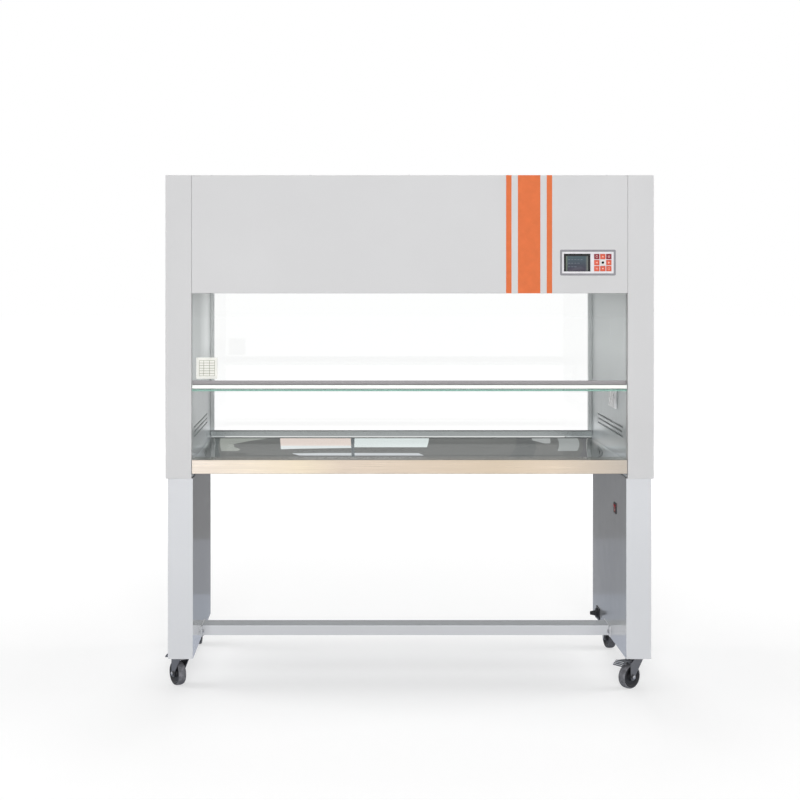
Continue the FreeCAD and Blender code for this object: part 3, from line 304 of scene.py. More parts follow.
def clear_glass(name, tint):
    """Clear float glass that lets the lamps through."""
    s = Surface(name)
    s.set(base_color=tint, transmission_weight=1.0)
    s.shader.inputs["IOR"].default_value = 1.46
    s.feed("Roughness", s.spread(s.noise(3.0, 3.0), 0.0, 0.012, 0.4, 0.8))
    tree = s.tree
    rays = tree.nodes.new("ShaderNodeLightPath")
    clear = tree.nodes.new("ShaderNodeBsdfTransparent")
    clear.inputs["Color"].default_value = scaled(tint, 0.96)
    mix = tree.nodes.new("ShaderNodeMixShader")
    tree.links.new(rays.outputs["Is Shadow Ray"], mix.inputs["Fac"])
    tree.links.new(s.shader.outputs["BSDF"], mix.inputs[1])
    tree.links.new(clear.outputs["BSDF"], mix.inputs[2])
    tree.links.new(mix.outputs["Shader"], tree.nodes["Material Output"].inputs["Surface"])
    return s.material


def pleated_media(name, colour):
    """Dull fibres of the filters."""
    s = Surface(name)
    fibres = s.noise(700.0, 5.0)
    s.feed("Base Color", s.mixed(s.spread(fibres, 0.0, 1.0), scaled(colour, 0.86), colour))
    s.set(roughness=0.9)
    return s.relief(fibres, 0.0001).material


# Painted reflections on the table's lip: its tones from its left end to its right end
lip_half = 0.668
lip_gain = 0.87
lip_reflection_tones = (
    (0.00, srgb(250, 238, 226)),
    (0.25, srgb(244, 230, 206)),
    (0.35, srgb(228, 212, 196)),
    (0.70, srgb(222, 205, 183)),
    (0.83, srgb(232, 215, 195)),
    (1.00, srgb(198, 190, 180)),
)

# Changes of the steel: lip to rim, rim to bed and within the rim along Y, bed to upstand along Z
lip_back = (-0.3715, -0.3695)
bed_front = (-0.268, -0.262)
rim_depth = (-0.372, -0.268)
upstand_foot = (0.7180, 0.7195)

bed_curve = 0.25  # the bed's rear end sweeps up, so it mirrors what stands higher
bed_start = -0.3


def table_steel():
    """The table's steel: a mirror-polished bed, a brushed rim and a finely brushed lip whose warm tones, changing
    from end to end, are painted reflections.
    """
    s = Surface("table_steel")
    s.set(metallic=1.0)
    lines = s.noise(1.0, 3.0, (5.0, 600.0, 600.0))
    behind_lip = s.along("Y", *lip_back)
    bed = s.along("Y", *bed_front)
    upstand = s.along("Z", *upstand_foot)
    tones = [(place, scaled(colour, lip_gain)) for place, colour in lip_reflection_tones]
    # Painted reflection: the lip's tones change from its left end to its right end.
    painted_lip_reflection = s.ramp(s.along("X", -lip_half, lip_half), tones)
    painted_lip_reflection = s.mixed(s.spread(lines, 0.0, 0.35), painted_lip_reflection, srgb(192, 178, 162))
    cloud = s.spread(s.noise(4.0, 3.0), 0.0, 1.0)
    mirror = s.mixed(cloud, srgb(224, 226, 225), srgb(231, 233, 232))
    rim = s.mixed(s.along("Y", *rim_depth), srgb(172, 168, 156), srgb(190, 190, 183))
    top = s.mixed(upstand, s.mixed(bed, rim, mirror), srgb(167, 172, 172))
    s.feed("Base Color", s.mixed(behind_lip, painted_lip_reflection, top))
    bed_roughness = s.spread(s.noise(9.0, 4.0), 0.008, 0.02)
    rim_roughness = s.spread(lines, 0.16, 0.24)
    lip_roughness = s.spread(lines, 0.26, 0.36)
    rough = s.blended(s.math("SUBTRACT", bed, upstand), rim_roughness, bed_roughness)
    s.feed("Roughness", s.blended(behind_lip, lip_roughness, rough))
    reach = s.math("MAXIMUM", s.math("SUBTRACT", s.axis("Y"), bed_start), 0.0)
    dish = s.math("MULTIPLY", s.math("POWER", reach, 2.0), bed_curve)
    grain = s.math("MULTIPLY", lines, s.blended(bed, 0.000012, 0.0))
    return s.relief(s.math("ADD", dish, grain), 1.0).material


# Changes of the rails: finger lip to the painted shade of the back plate and sash to rear frame along Y, finger
# lip along X
grip_plate = (-0.3665, -0.3625)
rear_rails = (0.0, 0.1)
lip_change = (-0.3, 0.65)


def grip_aluminium():
    """Anodised rails: the grip's bright finger lip, a back plate darkened with painted shade, and a pale rear
    frame.
    """
    s = Surface("aluminium_rail")
    s.set(metallic=1.0)
    lines = s.spread(s.noise(1.0, 3.0, (6.0, 900.0, 900.0)), 0.0, 1.0)
    plate = s.along("Y", *grip_plate)
    rear = s.along("Y", *rear_rails)
    bright = s.mixed(s.along("X", *lip_change), srgb(250, 254, 250), srgb(242, 245, 240))
    bright = s.mixed(lines, bright, srgb(246, 250, 245))
    # Painted shade: the grip's back plate is a darker grey than its finger lip.
    plate_painted_shade = s.mixed(lines, srgb(150, 147, 149), srgb(166, 163, 165))
    pale = s.mixed(lines, srgb(214, 217, 217), srgb(226, 229, 229))
    s.feed("Base Color", s.mixed(rear, s.mixed(plate, bright, plate_painted_shade), pale))
    s.feed("Roughness", s.spread(lines, 0.3, 0.42, 0.0, 1.0))
    return s.relief(lines, 0.00001).material


# Edges of the light and shade painted on the chamber's walls: up from the table, higher up, and on the left wall's
# rear
wall_foot = (0.73, 0.80)
wall_upper = (0.93, 1.05)
wall_left = (0.1, -0.1)
wall_rear = (-0.10, 0.15)


def wall_steel():
    """Upright brushed lines on the chamber's walls, with painted light at the table, painted shade just above, and
    a painted reflection on the left wall's rear.
    """
    s = Surface("chamber_wall")
    s.set(metallic=1.0)
    lines = s.noise(1.0, 3.0, (500.0, 500.0, 4.0))
    tone = s.lined(lines)
    # Painted light at the level of the table.
    low = s.mixed(tone, srgb(228, 233, 236), srgb(238, 243, 246))
    # Painted shade just above the table.
    middle = s.mixed(tone, srgb(143, 149, 150), srgb(156, 162, 163))
    high = s.mixed(tone, srgb(170, 176, 176), srgb(184, 190, 190))
    # Painted reflection on the left wall's rear.
    rear = s.mixed(tone, srgb(222, 226, 226), srgb(232, 236, 236))
    left_rear_painted_reflection = s.math("MULTIPLY", s.along("X", *wall_left), s.along("Y", *wall_rear))
    high = s.mixed(left_rear_painted_reflection, high, rear)
    upper = s.mixed(s.along("Z", *wall_upper), middle, high)
    s.feed("Base Color", s.mixed(s.along("Z", *wall_foot), low, upper))
    s.feed("Roughness", s.spread(lines, 0.27, 0.41))
    return s.relief(lines, 0.00002).material


def slot_materials():
    """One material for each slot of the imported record."""
    made = {
        "leg_paint": leg_paint(),
        "chamber_wall": wall_steel(),
        "table_steel": table_steel(),
        "aluminium_rail": grip_aluminium(),
        "clear_glass": clear_glass("clear_glass", (0.996, 1.0, 0.998, 1.0)),
    }
    for maker, slot, colour, *values in (
        (painted, "body_paint", (216, 216, 217)),
        (rubber, "tyre_black", (104, 104, 108)),
        (pleated_media, "filter_media", (236, 234, 224)),
        (brushed, "plain_steel", (170, 173, 175), (40.0, 40.0, 40.0), 0.42, 0.00004),
        (brushed, "weight_iron", (120, 121, 124), (60.0, 60.0, 8.0), 0.5, 0.0001),
        (brushed, "cord_steel", (176, 178, 180), (900.0, 900.0, 900.0)),
        (brushed, "caster_steel", (128, 128, 130), (220.0, 220.0, 220.0), 0.36, 0.00003),
        (moulded, "stripe_film", (225, 118, 70), 0.5, 300.0, 0.00001),
        (moulded, "panel_plastic", (236, 234, 238), 0.3),
        (moulded, "display_black", (18, 18, 23), 0.12, 400.0, 0.000004),
        (moulded, "key_orange", (222, 100, 76), 0.45),
        (moulded, "key_crimson", (138, 42, 56), 0.45),
        (moulded, "key_white", (240, 238, 234), 0.45),
        (moulded, "socket_white", (232, 233, 234), 0.25),
        (moulded, "black_plastic", (34, 34, 37), 0.42, 1200.0, 0.00005),
        (moulded, "rocker_red", (168, 30, 36), 0.28),
        (moulded, "tube_glass", (240, 242, 240), 0.12, 80.0, 0.000005),
        (moulded, "holder_white", (226, 226, 222)),
        (moulded, "guide_plastic", (200, 200, 200), 0.5),
        (moulded, "pulley_plastic", (222, 220, 212), 0.38),
    ):
        made[slot] = maker(slot, srgb(*colour), *values)
    return made


def tinted_edge():
    """Ground edge of the sash glass, where light comes out green."""
    s = Surface("glass_edge")
    frost = s.noise(260.0, 3.0)
    tone = s.spread(frost, 0.0, 1.0)
    s.feed("Base Color", s.mixed(tone, srgb(150, 198, 184), srgb(172, 215, 201)))
    s.feed("Roughness", s.spread(frost, 0.26, 0.34))
    s.set(transmission_weight=0.2)
    return s.relief(frost, 0.000004).material


# The lit picture from its foot to its top, and where its left and right margins change
picture_height = (1.300, 1.342)
picture_left = (0.486, 0.480)
picture_right = (0.539, 0.546)


def screen_picture():
    """Lit picture of the display: teal above, violet below, with faint lines."""
    s = Surface("screen_picture")
    height = s.along("Z", *picture_height)
    lines = s.spread(s.noise(1.0, 1.0, (0.0, 0.0, 330.0)), 0.0, 0.35)
    glow = s.mixed(height, srgb(52, 45, 63), srgb(66, 86, 92))
    glow = s.mixed(s.along("X", *picture_left), glow, srgb(104, 118, 100))
    glow = s.mixed(s.along("X", *picture_right), glow, srgb(112, 118, 112))
    colour = s.mixed(lines, glow, srgb(44, 46, 58))
    s.feed("Base Color", colour)
    s.feed("Emission Color", colour)
    s.set(emission_strength=0.25, roughness=0.12)
    return s.material


def extra_materials():
    """Materials of the pieces that only this script adds."""
    made = {"glass_edge": tinted_edge(), "screen_picture": screen_picture()}
    for maker, name, colour, *values in (
        (moulded, "screen_mark", (104, 114, 126), 0.3, 500.0, 0.00001),
        (moulded, "panel_border", (148, 147, 152)),
        (moulded, "card_white", (246, 246, 240), 0.5, 600.0, 0.00002),
        (moulded, "card_print", (150, 150, 128), 0.5, 600.0, 0.00001),
        (moulded, "key_print", (250, 214, 206), 0.45),
        (moulded, "hub_black", (28, 28, 31), 0.42),
        (brushed, "screw_steel", (186, 187, 190), (300.0, 300.0, 300.0), 0.3),
        (brushed, "bright_steel", (244, 245, 247), (300.0, 300.0, 300.0), 0.4),
    ):
        made[name] = maker(name, srgb(*colour), *values)
    return made


materials = slot_materials()
materials.update(extra_materials())


def dress_solids():
    """Gives every solid the material of its slot."""
    for part in frame["record"]["subparts"]:
        mesh = nodes[part["node"]].data
        if not mesh.materials:
            mesh.materials.append(None)
        for i in range(len(mesh.materials)):
            mesh.materials[i] = materials[part["material_slot"]]


def add_camera():
    """The photograph's camera, level and straight ahead."""
    data = bpy.data.cameras.new("camera")
    data.sensor_width = 36.0
    data.lens = camera_lens
    data.shift_x, data.shift_y = camera_shift
    data.clip_end = 200.0
    camera = bpy.data.objects.new("camera", data)
    camera.location = camera_place
    camera.rotation_euler = (math.radians(90), 0, 0)
    bpy.context.scene.collection.objects.link(camera)
    bpy.context.scene.camera = camera


def add_lights():
    """Soft lamps in front, behind, above and at both sides. Only the top one shows in mirrors."""
    for name, place, target_height, size, power in lamps:
        data = bpy.data.lights.new(name, "AREA")
        data.shape = "RECTANGLE"
        data.size = data.size_y = size
        data.energy = power
        lamp = bpy.data.objects.new(name, data)
        lamp.location = place
        aim = Vector((0, 0, target_height)) - Vector(place)
        lamp.rotation_euler = aim.to_track_quat("-Z", "Y").to_euler()
        lamp.visible_camera = False
        lamp.visible_glossy = name == "top_light"
        lamp.visible_transmission = False
        bpy.context.scene.collection.objects.link(lamp)


def seen_directly(tree):
    """1 for camera, mirror and glass rays, and 0 for the light that falls on the object."""
    rays = tree.nodes.new("ShaderNodeLightPath")
    total = rays.outputs["Is Camera Ray"]
    for name in ("Is Glossy Ray", "Is Transmission Ray"):
        add = tree.nodes.new("ShaderNodeMath")
        add.operation = "ADD"
        add.use_clamp = True
        tree.links.new(total, add.inputs[0])
        tree.links.new(rays.outputs[name], add.inputs[1])
        total = add.outputs["Value"]
    return total


def add_world():
    """White surroundings that look brighter than the light that they give."""
    world = bpy.data.worlds.new("studio")
    bpy.context.scene.world = world
    world.use_nodes = True
    tree = world.node_tree
    background = tree.nodes["Background"]
    background.inputs["Color"].default_value = (1, 1, 1, 1)
    strength = tree.nodes.new("ShaderNodeMapRange")
    strength.inputs["To Min"].default_value = ambient_level
    strength.inputs["To Max"].default_value = white_level
    tree.links.new(seen_directly(tree), strength.inputs["Value"])
    tree.links.new(strength.outputs["Result"], background.inputs["Strength"])


def add_floor():
    """Plain pale floor that looks white but keeps the cabinet's shadow."""
    mesh = bpy.data.meshes.new("floor")
    corners = [(-1, -1), (1, -1), (1, 1), (-1, 1)]
    mesh.from_pydata([(x * floor_half, y * floor_half, 0) for x, y in corners], [], [(0, 1, 2, 3)])
    floor = bpy.data.objects.new("floor", mesh)
    bpy.context.scene.collection.objects.link(floor)
    material = bpy.data.materials.new("floor")
    material.use_nodes = True
    tree = material.node_tree
    shader = tree.nodes["Principled BSDF"]
    shader.inputs["Base Color"].default_value = (floor_tone, floor_tone, floor_tone, 1)
    shader.inputs["Roughness"].default_value = 1.0
    shader.inputs["Specular IOR Level"].default_value = 0.0
    shader.inputs["Emission Color"].default_value = (1, 1, 1, 1)
    distance = tree.nodes.new("ShaderNodeVectorMath")
    distance.operation = "LENGTH"
    place = tree.nodes.new("ShaderNodeTexCoord").outputs["Object"]
    tree.links.new(place, distance.inputs[0])
    glow = tree.nodes.new("ShaderNodeMapRange")
    glow.inputs["From Min"].default_value = near_radius
    glow.inputs["From Max"].default_value = far_radius
    glow.inputs["To Min"].default_value = near_glow
    glow.inputs["To Max"].default_value = far_glow
    tree.links.new(distance.outputs["Value"], glow.inputs["Value"])
    strength = tree.nodes.new("ShaderNodeMath")
    strength.operation = "MULTIPLY"
    tree.links.new(seen_directly(tree), strength.inputs[0])
    tree.links.new(glow.outputs["Result"], strength.inputs[1])
    tree.links.new(strength.outputs["Value"], shader.inputs["Emission Strength"])
    mesh.materials.append(material)


def glowing(name, colour):
    """A material with an even glow of one colour."""
    material = bpy.data.materials.new(name)
    material.use_nodes = True
    tree = material.node_tree
    tree.nodes.remove(tree.nodes["Principled BSDF"])
    glow = tree.nodes.new("ShaderNodeEmission")
    glow.inputs["Color"].default_value = colour
    tree.links.new(glow.outputs["Emission"], tree.nodes["Material Output"].inputs["Surface"])
    return material


def add_backdrop(name, faces):
    """Glowing faces, each with its points and a colour, that the camera doesn't see directly."""
    mesh = bpy.data.meshes.new(name)
    points = []
    outlines = []
    for corners, _ in faces:
        outlines.append(range(len(points), len(points) + len(corners)))
        points += corners
    mesh.from_pydata(points, [], outlines)
    for i, (_, colour) in enumerate(faces):
        mesh.materials.append(glowing(name + "_" + str(i), colour))
        mesh.polygons[i].material_index = i
    backdrop = bpy.data.objects.new(name, mesh)
    backdrop.visible_camera = False
    backdrop.visible_diffuse = False
    backdrop.visible_shadow = False
    bpy.context.scene.collection.objects.link(backdrop)
    return backdrop


def add_cards():
    """Adds the cards and the floor bands."""
    faces = []
    for i, (outline, colour) in enumerate(cards):
        y = card_y - card_gap * i
        faces.append(([(x, y, z) for x, z in outline], scaled(srgb(*colour), card_gain)))
    add_backdrop("cards", faces)
    faces = []
    for (y0, y1), colour in floor_bands:
        corners = [(-band_half, y0), (band_half, y0), (band_half, y1), (-band_half, y1)]
        faces.append(([(x, y, band_z) for x, y in corners], srgb(*colour)))
    add_backdrop("floor_bands", faces).visible_transmission = False


def ring(radius, height, sides, shape=None):
    """Points round the Z axis at a height. A shape gives the radius's share for an angle."""
    points = []
    for i in range(sides):
        angle = 2 * math.pi * i / sides
        reach = radius * shape(angle) if shape else radius
        points.append(Vector((reach * math.cos(angle), reach * math.sin(angle), height)))
    return points


def stacked(rings, closed=True):
    """A mesh with quads between rings of the same count, and a flat face at both ends."""
    mesh = bpy.data.meshes.new("stack")
    built = bmesh.new()
    rows = [[built.verts.new(point) for point in points] for points in rings]
    for lower, upper in zip(rows, rows[1:]):
        for i in range(len(lower)):
            j = (i + 1) % len(lower)
            built.faces.new((lower[i], lower[j], upper[j], upper[i]))
    if closed:
        built.faces.new(rows[0][::-1])
        built.faces.new(rows[-1])
    bmesh.ops.recalc_face_normals(built, faces=built.faces)
    built.to_mesh(mesh)
    built.free()
    return mesh


def turned(profile, sides):
    """A solid round Z from (radius, height) pairs, with a flat face at both ends."""
    return stacked([ring(radius, height, sides) for radius, height in profile])


def lathe(profile, sides):
    """A hollow mesh round Z from (radius, height) pairs. The profile closes on itself."""
    rings = [ring(radius, height, sides) for radius, height in profile]
    return stacked(rings + [rings[0]], closed=False)


def joined(copies):
    """One mesh from several (mesh, matrix) pairs."""
    built = bmesh.new()
    for mesh, matrix in copies:
        part = mesh.copy()
        part.transform(matrix)
        built.from_mesh(part)
        bpy.data.meshes.remove(part)
    mesh = bpy.data.meshes.new("joined")
    built.to_mesh(mesh)
    built.free()
    return mesh


smooth_angle = 35.0


def smooth(mesh):
    """Shades the mesh smooth, except across edges sharper than smooth_angle."""
    built = bmesh.new()
    built.from_mesh(mesh)
    for face in built.faces:
        face.smooth = True
    for edge in built.edges:
        edge.smooth = edge.calc_face_angle(math.pi) < math.radians(smooth_angle)
    built.to_mesh(mesh)
    built.free()
    return mesh


def add_piece(name, mesh, material, body):
    """A visible piece that rides on a body, in a material of its own."""
    mesh.name = name
    mesh.materials.clear()
    mesh.materials.append(materials[material])
    piece = bpy.data.objects.new(name, smooth(mesh))
    bpy.context.scene.collection.objects.link(piece)
    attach(piece, body)
    return piece


def facing(place, outward, up=(0, 0, 1)):
    """Matrix that takes local +Z outward and local +Y up, to a place."""
    z = Vector(outward).normalized()
    x = Vector(up).cross(z).normalized()
    y = z.cross(x)
    turn = Matrix((x, y, z)).transposed().to_4x4()
    return Matrix.Translation(Vector(place)) @ turn


corner_steps = 4


def rounded_outline(width, height, corner):
    """Points of a rounded rectangle round the origin, in XY."""
    points = []
    for i, (sx, sy) in enumerate(((1, 1), (-1, 1), (-1, -1), (1, -1))):
        cx = sx * (width / 2 - corner)
        cy = sy * (height / 2 - corner)
        for j in range(corner_steps + 1):
            angle = math.pi / 2 * (i + j / corner_steps)
            points.append((cx + corner * math.cos(angle), cy + corner * math.sin(angle)))
    return points


def soft_plate(width, height, depth, corner, edge):
    """A rounded plate on the XY plane with a softened upper edge."""
    rings = []
    for inset, level in (
        (0, 0), (0, depth - edge), (edge * 0.3, depth - edge * 0.3), (edge, depth),
    ):
        radius = max(corner - inset, edge / 4)
        outline = rounded_outline(width - 2 * inset, height - 2 * inset, radius)
        rings.append([Vector((x, y, level)) for x, y in outline])
    return stacked(rings)


def plate_frame(width, height, depth, corner, band):
    """A flat rounded frame of the band's width."""
    outer = rounded_outline(width, height, corner)
    inner = rounded_outline(width - 2 * band, height - 2 * band, corner - band / 2)
    rings = []
    for outline, level in ((inner, 0), (outer, 0), (outer, depth), (inner, depth), (inner, 0)):
        rings.append([Vector((x, y, level)) for x, y in outline])
    return stacked(rings, closed=False)


recess_arm = 0.26  # half the width of the recess's arms, as a share of their reach


def cross_recess(angle):
    """Radius of a cross-shaped recess, as a share of its reach."""
    c = max(abs(math.cos(angle)), 1e-6)
    s = max(abs(math.sin(angle)), 1e-6)
    return max(min(1 / c, recess_arm / s), min(1 / s, recess_arm / c))


def screw_head(radius):
    """A domed head with a cross recess, standing on the XY plane."""
    height = radius * 0.55
    rings = []
    for share, level, shape in (
        (1.0, 0.0, None), (1.0, 0.25, None), (0.88, 0.7, None), (0.62, 0.95, None),
        (0.5, 1.0, cross_recess), (0.38, 0.3, cross_recess),
    ):
        rings.append(ring(radius * share, height * level, 32, shape))
    return stacked(rings)


def hex_bolt(radius, height):
    """A hexagon head on its washer."""
    seat = height * 0.22
    washer = turned([(radius * 1.3, 0), (radius * 1.3, height * 0.16), (radius * 1.2, seat)], 24)
    head = turned([(radius, seat), (radius, height * 0.92), (radius * 0.93, height)], 6)
    return joined([(washer, Matrix.Identity(4)), (head, Matrix.Identity(4))])


rope_radius = 0.0015
rope_strands = 6
rope_groove = 0.16  # depth between the strands, as a share of the radius
rope_lay = 0.018
rope_step = 0.0012
ferrule_profile = (
    (0.0004, 0), (0.0026, 0), (0.0028, 0.001), (0.0028, 0.008), (0.002, 0.01), (0.0004, 0.01),
)


def rope(path, length):
    """A laid rope. path gives the place and the direction at a distance along it."""
    count = max(int(length / rope_step), 2)
    rings = []
    for i in range(count + 1):
        distance = length * i / count
        place, along = path(distance)
        twist = 2 * math.pi * distance / rope_lay
        frame_at = facing(place, along, (0, 1, 0))
        points = []
        for point in ring(rope_radius, 0, 24):
            angle = math.atan2(point.y, point.x) + twist
            groove = rope_groove * (1 - abs(math.cos(rope_strands * angle / 2)))
            points.append(frame_at @ (point * (1 - groove)))
        rings.append(points)
    return stacked(rings)


def add_cord(side, outward):
    """A cord in three stretches: sash to pulley, round the pulley, pulley to weight."""
    low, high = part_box("pulley_" + side)
    centre = (low + high) / 2
    y = centre.y
    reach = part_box("sash_cords")[1].z - centre.z - rope_radius
    inner_x = centre.x - outward * reach
    outer_x = centre.x + outward * reach
    lug_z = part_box("sash_top_rail")[1].z
    weight_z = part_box("counterweight_" + side)[1].z

    def rising(distance):
        return Vector((inner_x, y, lug_z + distance)), Vector((0, 0, 1))

    def over(distance):
        angle = distance / reach
        x = centre.x - outward * reach * math.cos(angle)
        z = centre.z + reach * math.sin(angle)
        return Vector((x, y, z)), Vector((outward * math.sin(angle), 0, math.cos(angle)))

    def falling(distance):
        return Vector((outer_x, y, centre.z - distance)), Vector((0, 0, -1))

    ends = {
        "sash": ("sash", inner_x, lug_z),
        "weight": ("counterweight_" + side, outer_x, weight_z),
    }
    for name, path, length in (
        ("sash", rising, centre.z - lug_z),
        ("pulley", over, math.pi * reach),
        ("weight", falling, centre.z - weight_z),
    ):
        piece_name = "cord_" + name + "_" + side
        piece = add_piece(piece_name, rope(path, length), "cord_steel", "cabinet")
        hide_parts("sash_cords")
        if name in ends:
            body, x, z = ends[name]
            piece.parent = None
            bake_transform(piece)
    for name, (body, x, z) in ends.items():
        ferrule = lathe(ferrule_profile, 20)
        ferrule.transform(Matrix.Translation((x, y, z)))
        ferrule_name = "cord_ferrule_" + name + "_" + side
        add_piece(ferrule_name, ferrule, "screw_steel", body)


def add_cords():
    """Both sash cords, each over its pulley."""
    add_cord("left", -1)
    add_cord("right", 1)


# Half sections of the tread and the wheel body: shares of the radius and of half the width
wheel_half = 0.0125
tyre_profile = (
    (0.84, -0.90), (0.89, -1.0), (0.945, -0.94), (0.98, -0.72), (0.995, -0.36), (1.0, 0.0),
    (0.995, 0.36), (0.98, 0.72), (0.945, 0.94), (0.89, 1.0), (0.84, 0.90),
)
hub_profile = (
    (0.117, -1.02), (0.30, -1.02), (0.32, -0.88), (0.36, -0.62), (0.66, -0.62), (0.72, -0.80),
    (0.78, -0.97), (0.87, -0.985), (0.875, -0.9), (0.875, 0.9), (0.87, 0.985), (0.78, 0.97),
    (0.72, 0.80), (0.66, 0.62), (0.36, 0.62), (0.32, 0.88), (0.30, 1.02), (0.117, 1.02),
)
axle_head = 0.021  # wheel's middle to the outer face of the axle's hexagon
axle_cap = ((0.0055, 0), (0.0055, 0.0006), (0.0045, 0.0014), (0.0022, 0.0019))


def joints_named(start, end):
    """The joints whose name starts and ends like that, each with the spot in between."""
    for joint in frame["joints"]:
        if joint["name"].startswith(start) and joint["name"].endswith(end):
            yield joint["name"][len(start):-len(end)], joint


def add_wheels():
    """Grey rubber tread and black wheel body in place of each plain wheel."""
    for spot, joint in joints_named("wheel_", "_spin"):
        low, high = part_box("caster_wheel_" + spot)
        radius = (high.z - low.z) / 2
        for part, profile, material in (
            ("tyre", tyre_profile, "tyre_black"),
            ("hub", hub_profile, "hub_black"),
        ):
            mesh = lathe([(r * radius, h * wheel_half) for r, h in profile], 72)
            mesh.transform(facing(joint["pos_m"], joint["axis"]))
            name = "wheel_" + part + "_" + spot
            piece = add_piece(name, mesh, material, "wheel_" + spot)
            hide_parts("caster_wheel_" + spot)


def add_axle_caps():
    """Bright domed caps on the axle's two ends."""
    for spot, joint in joints_named("wheel_", "_spin"):
        middle = Vector(joint["pos_m"])
        across = Vector(joint["axis"]).normalized()
        caps = []
        for outward in (across, -across):
            caps.append((turned(axle_cap, 32), facing(middle + outward * axle_head, outward)))
        name = "axle_caps_" + spot
        add_piece(name, joined(caps), "screw_steel", "caster_" + spot)


# The pedal's bent pad at rest: its pivot and its bend, each along the fork and up, the slope of
# the pad in degrees and how far the whole pedal is raised
pedal_pivot = (0.021, 0.083)
pad_bend = (0.067, 0.088)
pad_slope = 42.0
pedal_rise = 4.0

# Strips across the pad: name, width, places along the pad, height above it and material
pad_width = 0.036
pad_strips = (
    ("caps", 0.0028, (0.005, 0.011, 0.017), 0.0012, "bright_steel"),
    # The dark strips between the caps paint the shade between the pedal's ribs.
    ("rubber", 0.0034, (0.0020, 0.008, 0.014), 0.0, "hub_black"),
)


def on_pad(reach, above):
    """A point on the pedal's bent pad, from the pivot: along the fork and up."""
    slope = math.radians(pad_slope)
    x = pad_bend[0] + reach * math.cos(slope) + above * math.sin(slope) - pedal_pivot[0]
    z = pad_bend[1] - reach * math.sin(slope) + above * math.cos(slope) - pedal_pivot[1]
    rise = math.radians(pedal_rise)
    return x * math.cos(rise) - z * math.sin(rise), x * math.sin(rise) + z * math.cos(rise)


def add_pedal_grips():
    """Bright caps on the ribs of each brake pedal, and dark strips of painted shade between them."""
    lean = math.radians(pad_slope - pedal_rise)
    for spot, joint in joints_named("brake_pedal_", "_tilt"):
        pivot = Vector(joint["pos_m"])
        ahead = Vector(joint["axis"]).cross(Vector((0, 0, 1)))
        outward = ahead * math.sin(lean) + Vector((0, 0, math.cos(lean)))
        for part, width, places, above, material in pad_strips:
            strips = []
            for reach in places:
                along, up = on_pad(reach, above)
                strip = soft_plate(pad_width, width, depth=0.0005, corner=0.0006, edge=0.0002)
                place = pivot + ahead * along + Vector((0, 0, up))
                strips.append((strip, facing(place, outward, ahead)))
            name = "pedal_" + part + "_" + spot
            add_piece(name, joined(strips), material, "pedal_" + spot)


# Ground edge of the sash glass: how much thicker than the glass it is, how high, its corners, and
# how far its middle lies above the glass's lower end
edge_proud = 0.0003
edge_height = 0.0066
edge_corner = 0.0015
edge_middle = 0.0031

# Inspection card on the glass: its middle along X and Z, its size, and its ruled lines
label_place = (-0.624, 0.998)
label_size = 0.066
label_depth = 0.0003
grid_size = 0.048
rule_length = 0.046
rule_width = 0.0012
rule_depth = 0.0001
rule_rows = (0.016, 0.008, 0.0, -0.008, -0.016)
rule_columns = (-0.010, 0.008)


def rule(width, height, x, y):
    """One printed line and its place on the card."""
    bar = soft_plate(width, height, rule_depth, corner=0.0004, edge=0.00003)
    return bar, Matrix.Translation((x, y, 0))


def add_sash_details():
    """Ground lower edge of the glass, and a blank inspection card on it."""
    low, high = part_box("sash_glass")
    middle_y = (low.y + high.y) / 2
    outline = rounded_outline(high.y - low.y + edge_proud, edge_height, edge_corner)
    rings = []
    for x in (low.x, high.x):
        rings.append([Vector((x, middle_y + a, low.z + edge_middle + b)) for a, b in outline])
    add_piece("sash_glass_edge", stacked(rings), "glass_edge", "sash")
    card = facing((label_place[0], low.y, label_place[1]), (0, -1, 0))
    plate = soft_plate(label_size, label_size, label_depth, corner=0.003, edge=0.0001)
    plate.transform(card)
    add_piece("inspection_card", plate, "card_white", "sash")
    grid = plate_frame(grid_size, grid_size, rule_depth, corner=0.001, band=0.001)
    rules = [(grid, Matrix.Identity(4))]
    rules += [rule(rule_length, rule_width, 0, y) for y in rule_rows]
    rules += [rule(rule_width, rule_length, x, 0) for x in rule_columns]
    print_mesh = joined(rules)
    print_mesh.transform(card @ Matrix.Translation((0, 0, label_depth)))
    add_piece("inspection_card_rules", print_mesh, "card_print", "sash")


# Control panel: the border's gap to the panel's outline, and the lit picture's middle and size.
# The picture has rows of marks, each shorter by one mark than the row above.
border_gap = 0.0006
screen_place = (0.5134, 1.3206)
screen_size = (0.067, 0.0454)
screen_depth = 0.0003
mark_counts = (5, 4, 3)
first_mark = (-0.024, 0.012)
mark_pitch = (0.0095, 0.011)


def add_panel_details():
    """Border of the control panel, and the lit picture on its display."""
    low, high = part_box("control_bezel")
    centre = Vector(((low.x + high.x) / 2, low.y, (low.z + high.z) / 2))
    width = high.x - low.x - border_gap
    height = high.z - low.z - border_gap
    border = plate_frame(width, height, depth=0.0002, corner=0.0040, band=0.0066)
    border.transform(facing(centre, (0, -1, 0)))
    add_piece("panel_border", border, "panel_border", "cabinet")
    low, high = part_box("display_module")
    place = facing((screen_place[0], low.y, screen_place[1]), (0, -1, 0))
    picture = soft_plate(*screen_size, screen_depth, corner=0.001, edge=0.0001)
    picture.transform(place)
    add_piece("display_picture", picture, "screen_picture", "cabinet")
    marks = []
    for row, count in enumerate(mark_counts):
        for column in range(count):
            bar = soft_plate(0.007, 0.0016, depth=0.0002, corner=0.0004, edge=0.0001)
            x = first_mark[0] + column * mark_pitch[0]
            y = first_mark[1] - row * mark_pitch[1]
            marks.append((bar, Matrix.Translation((x, y, screen_depth))))
    mesh = joined(marks)
    mesh.transform(place)
    add_piece("display_marks", mesh, "screen_mark", "cabinet")


sign_depth = 0.00015  # how far a key's sign stands out


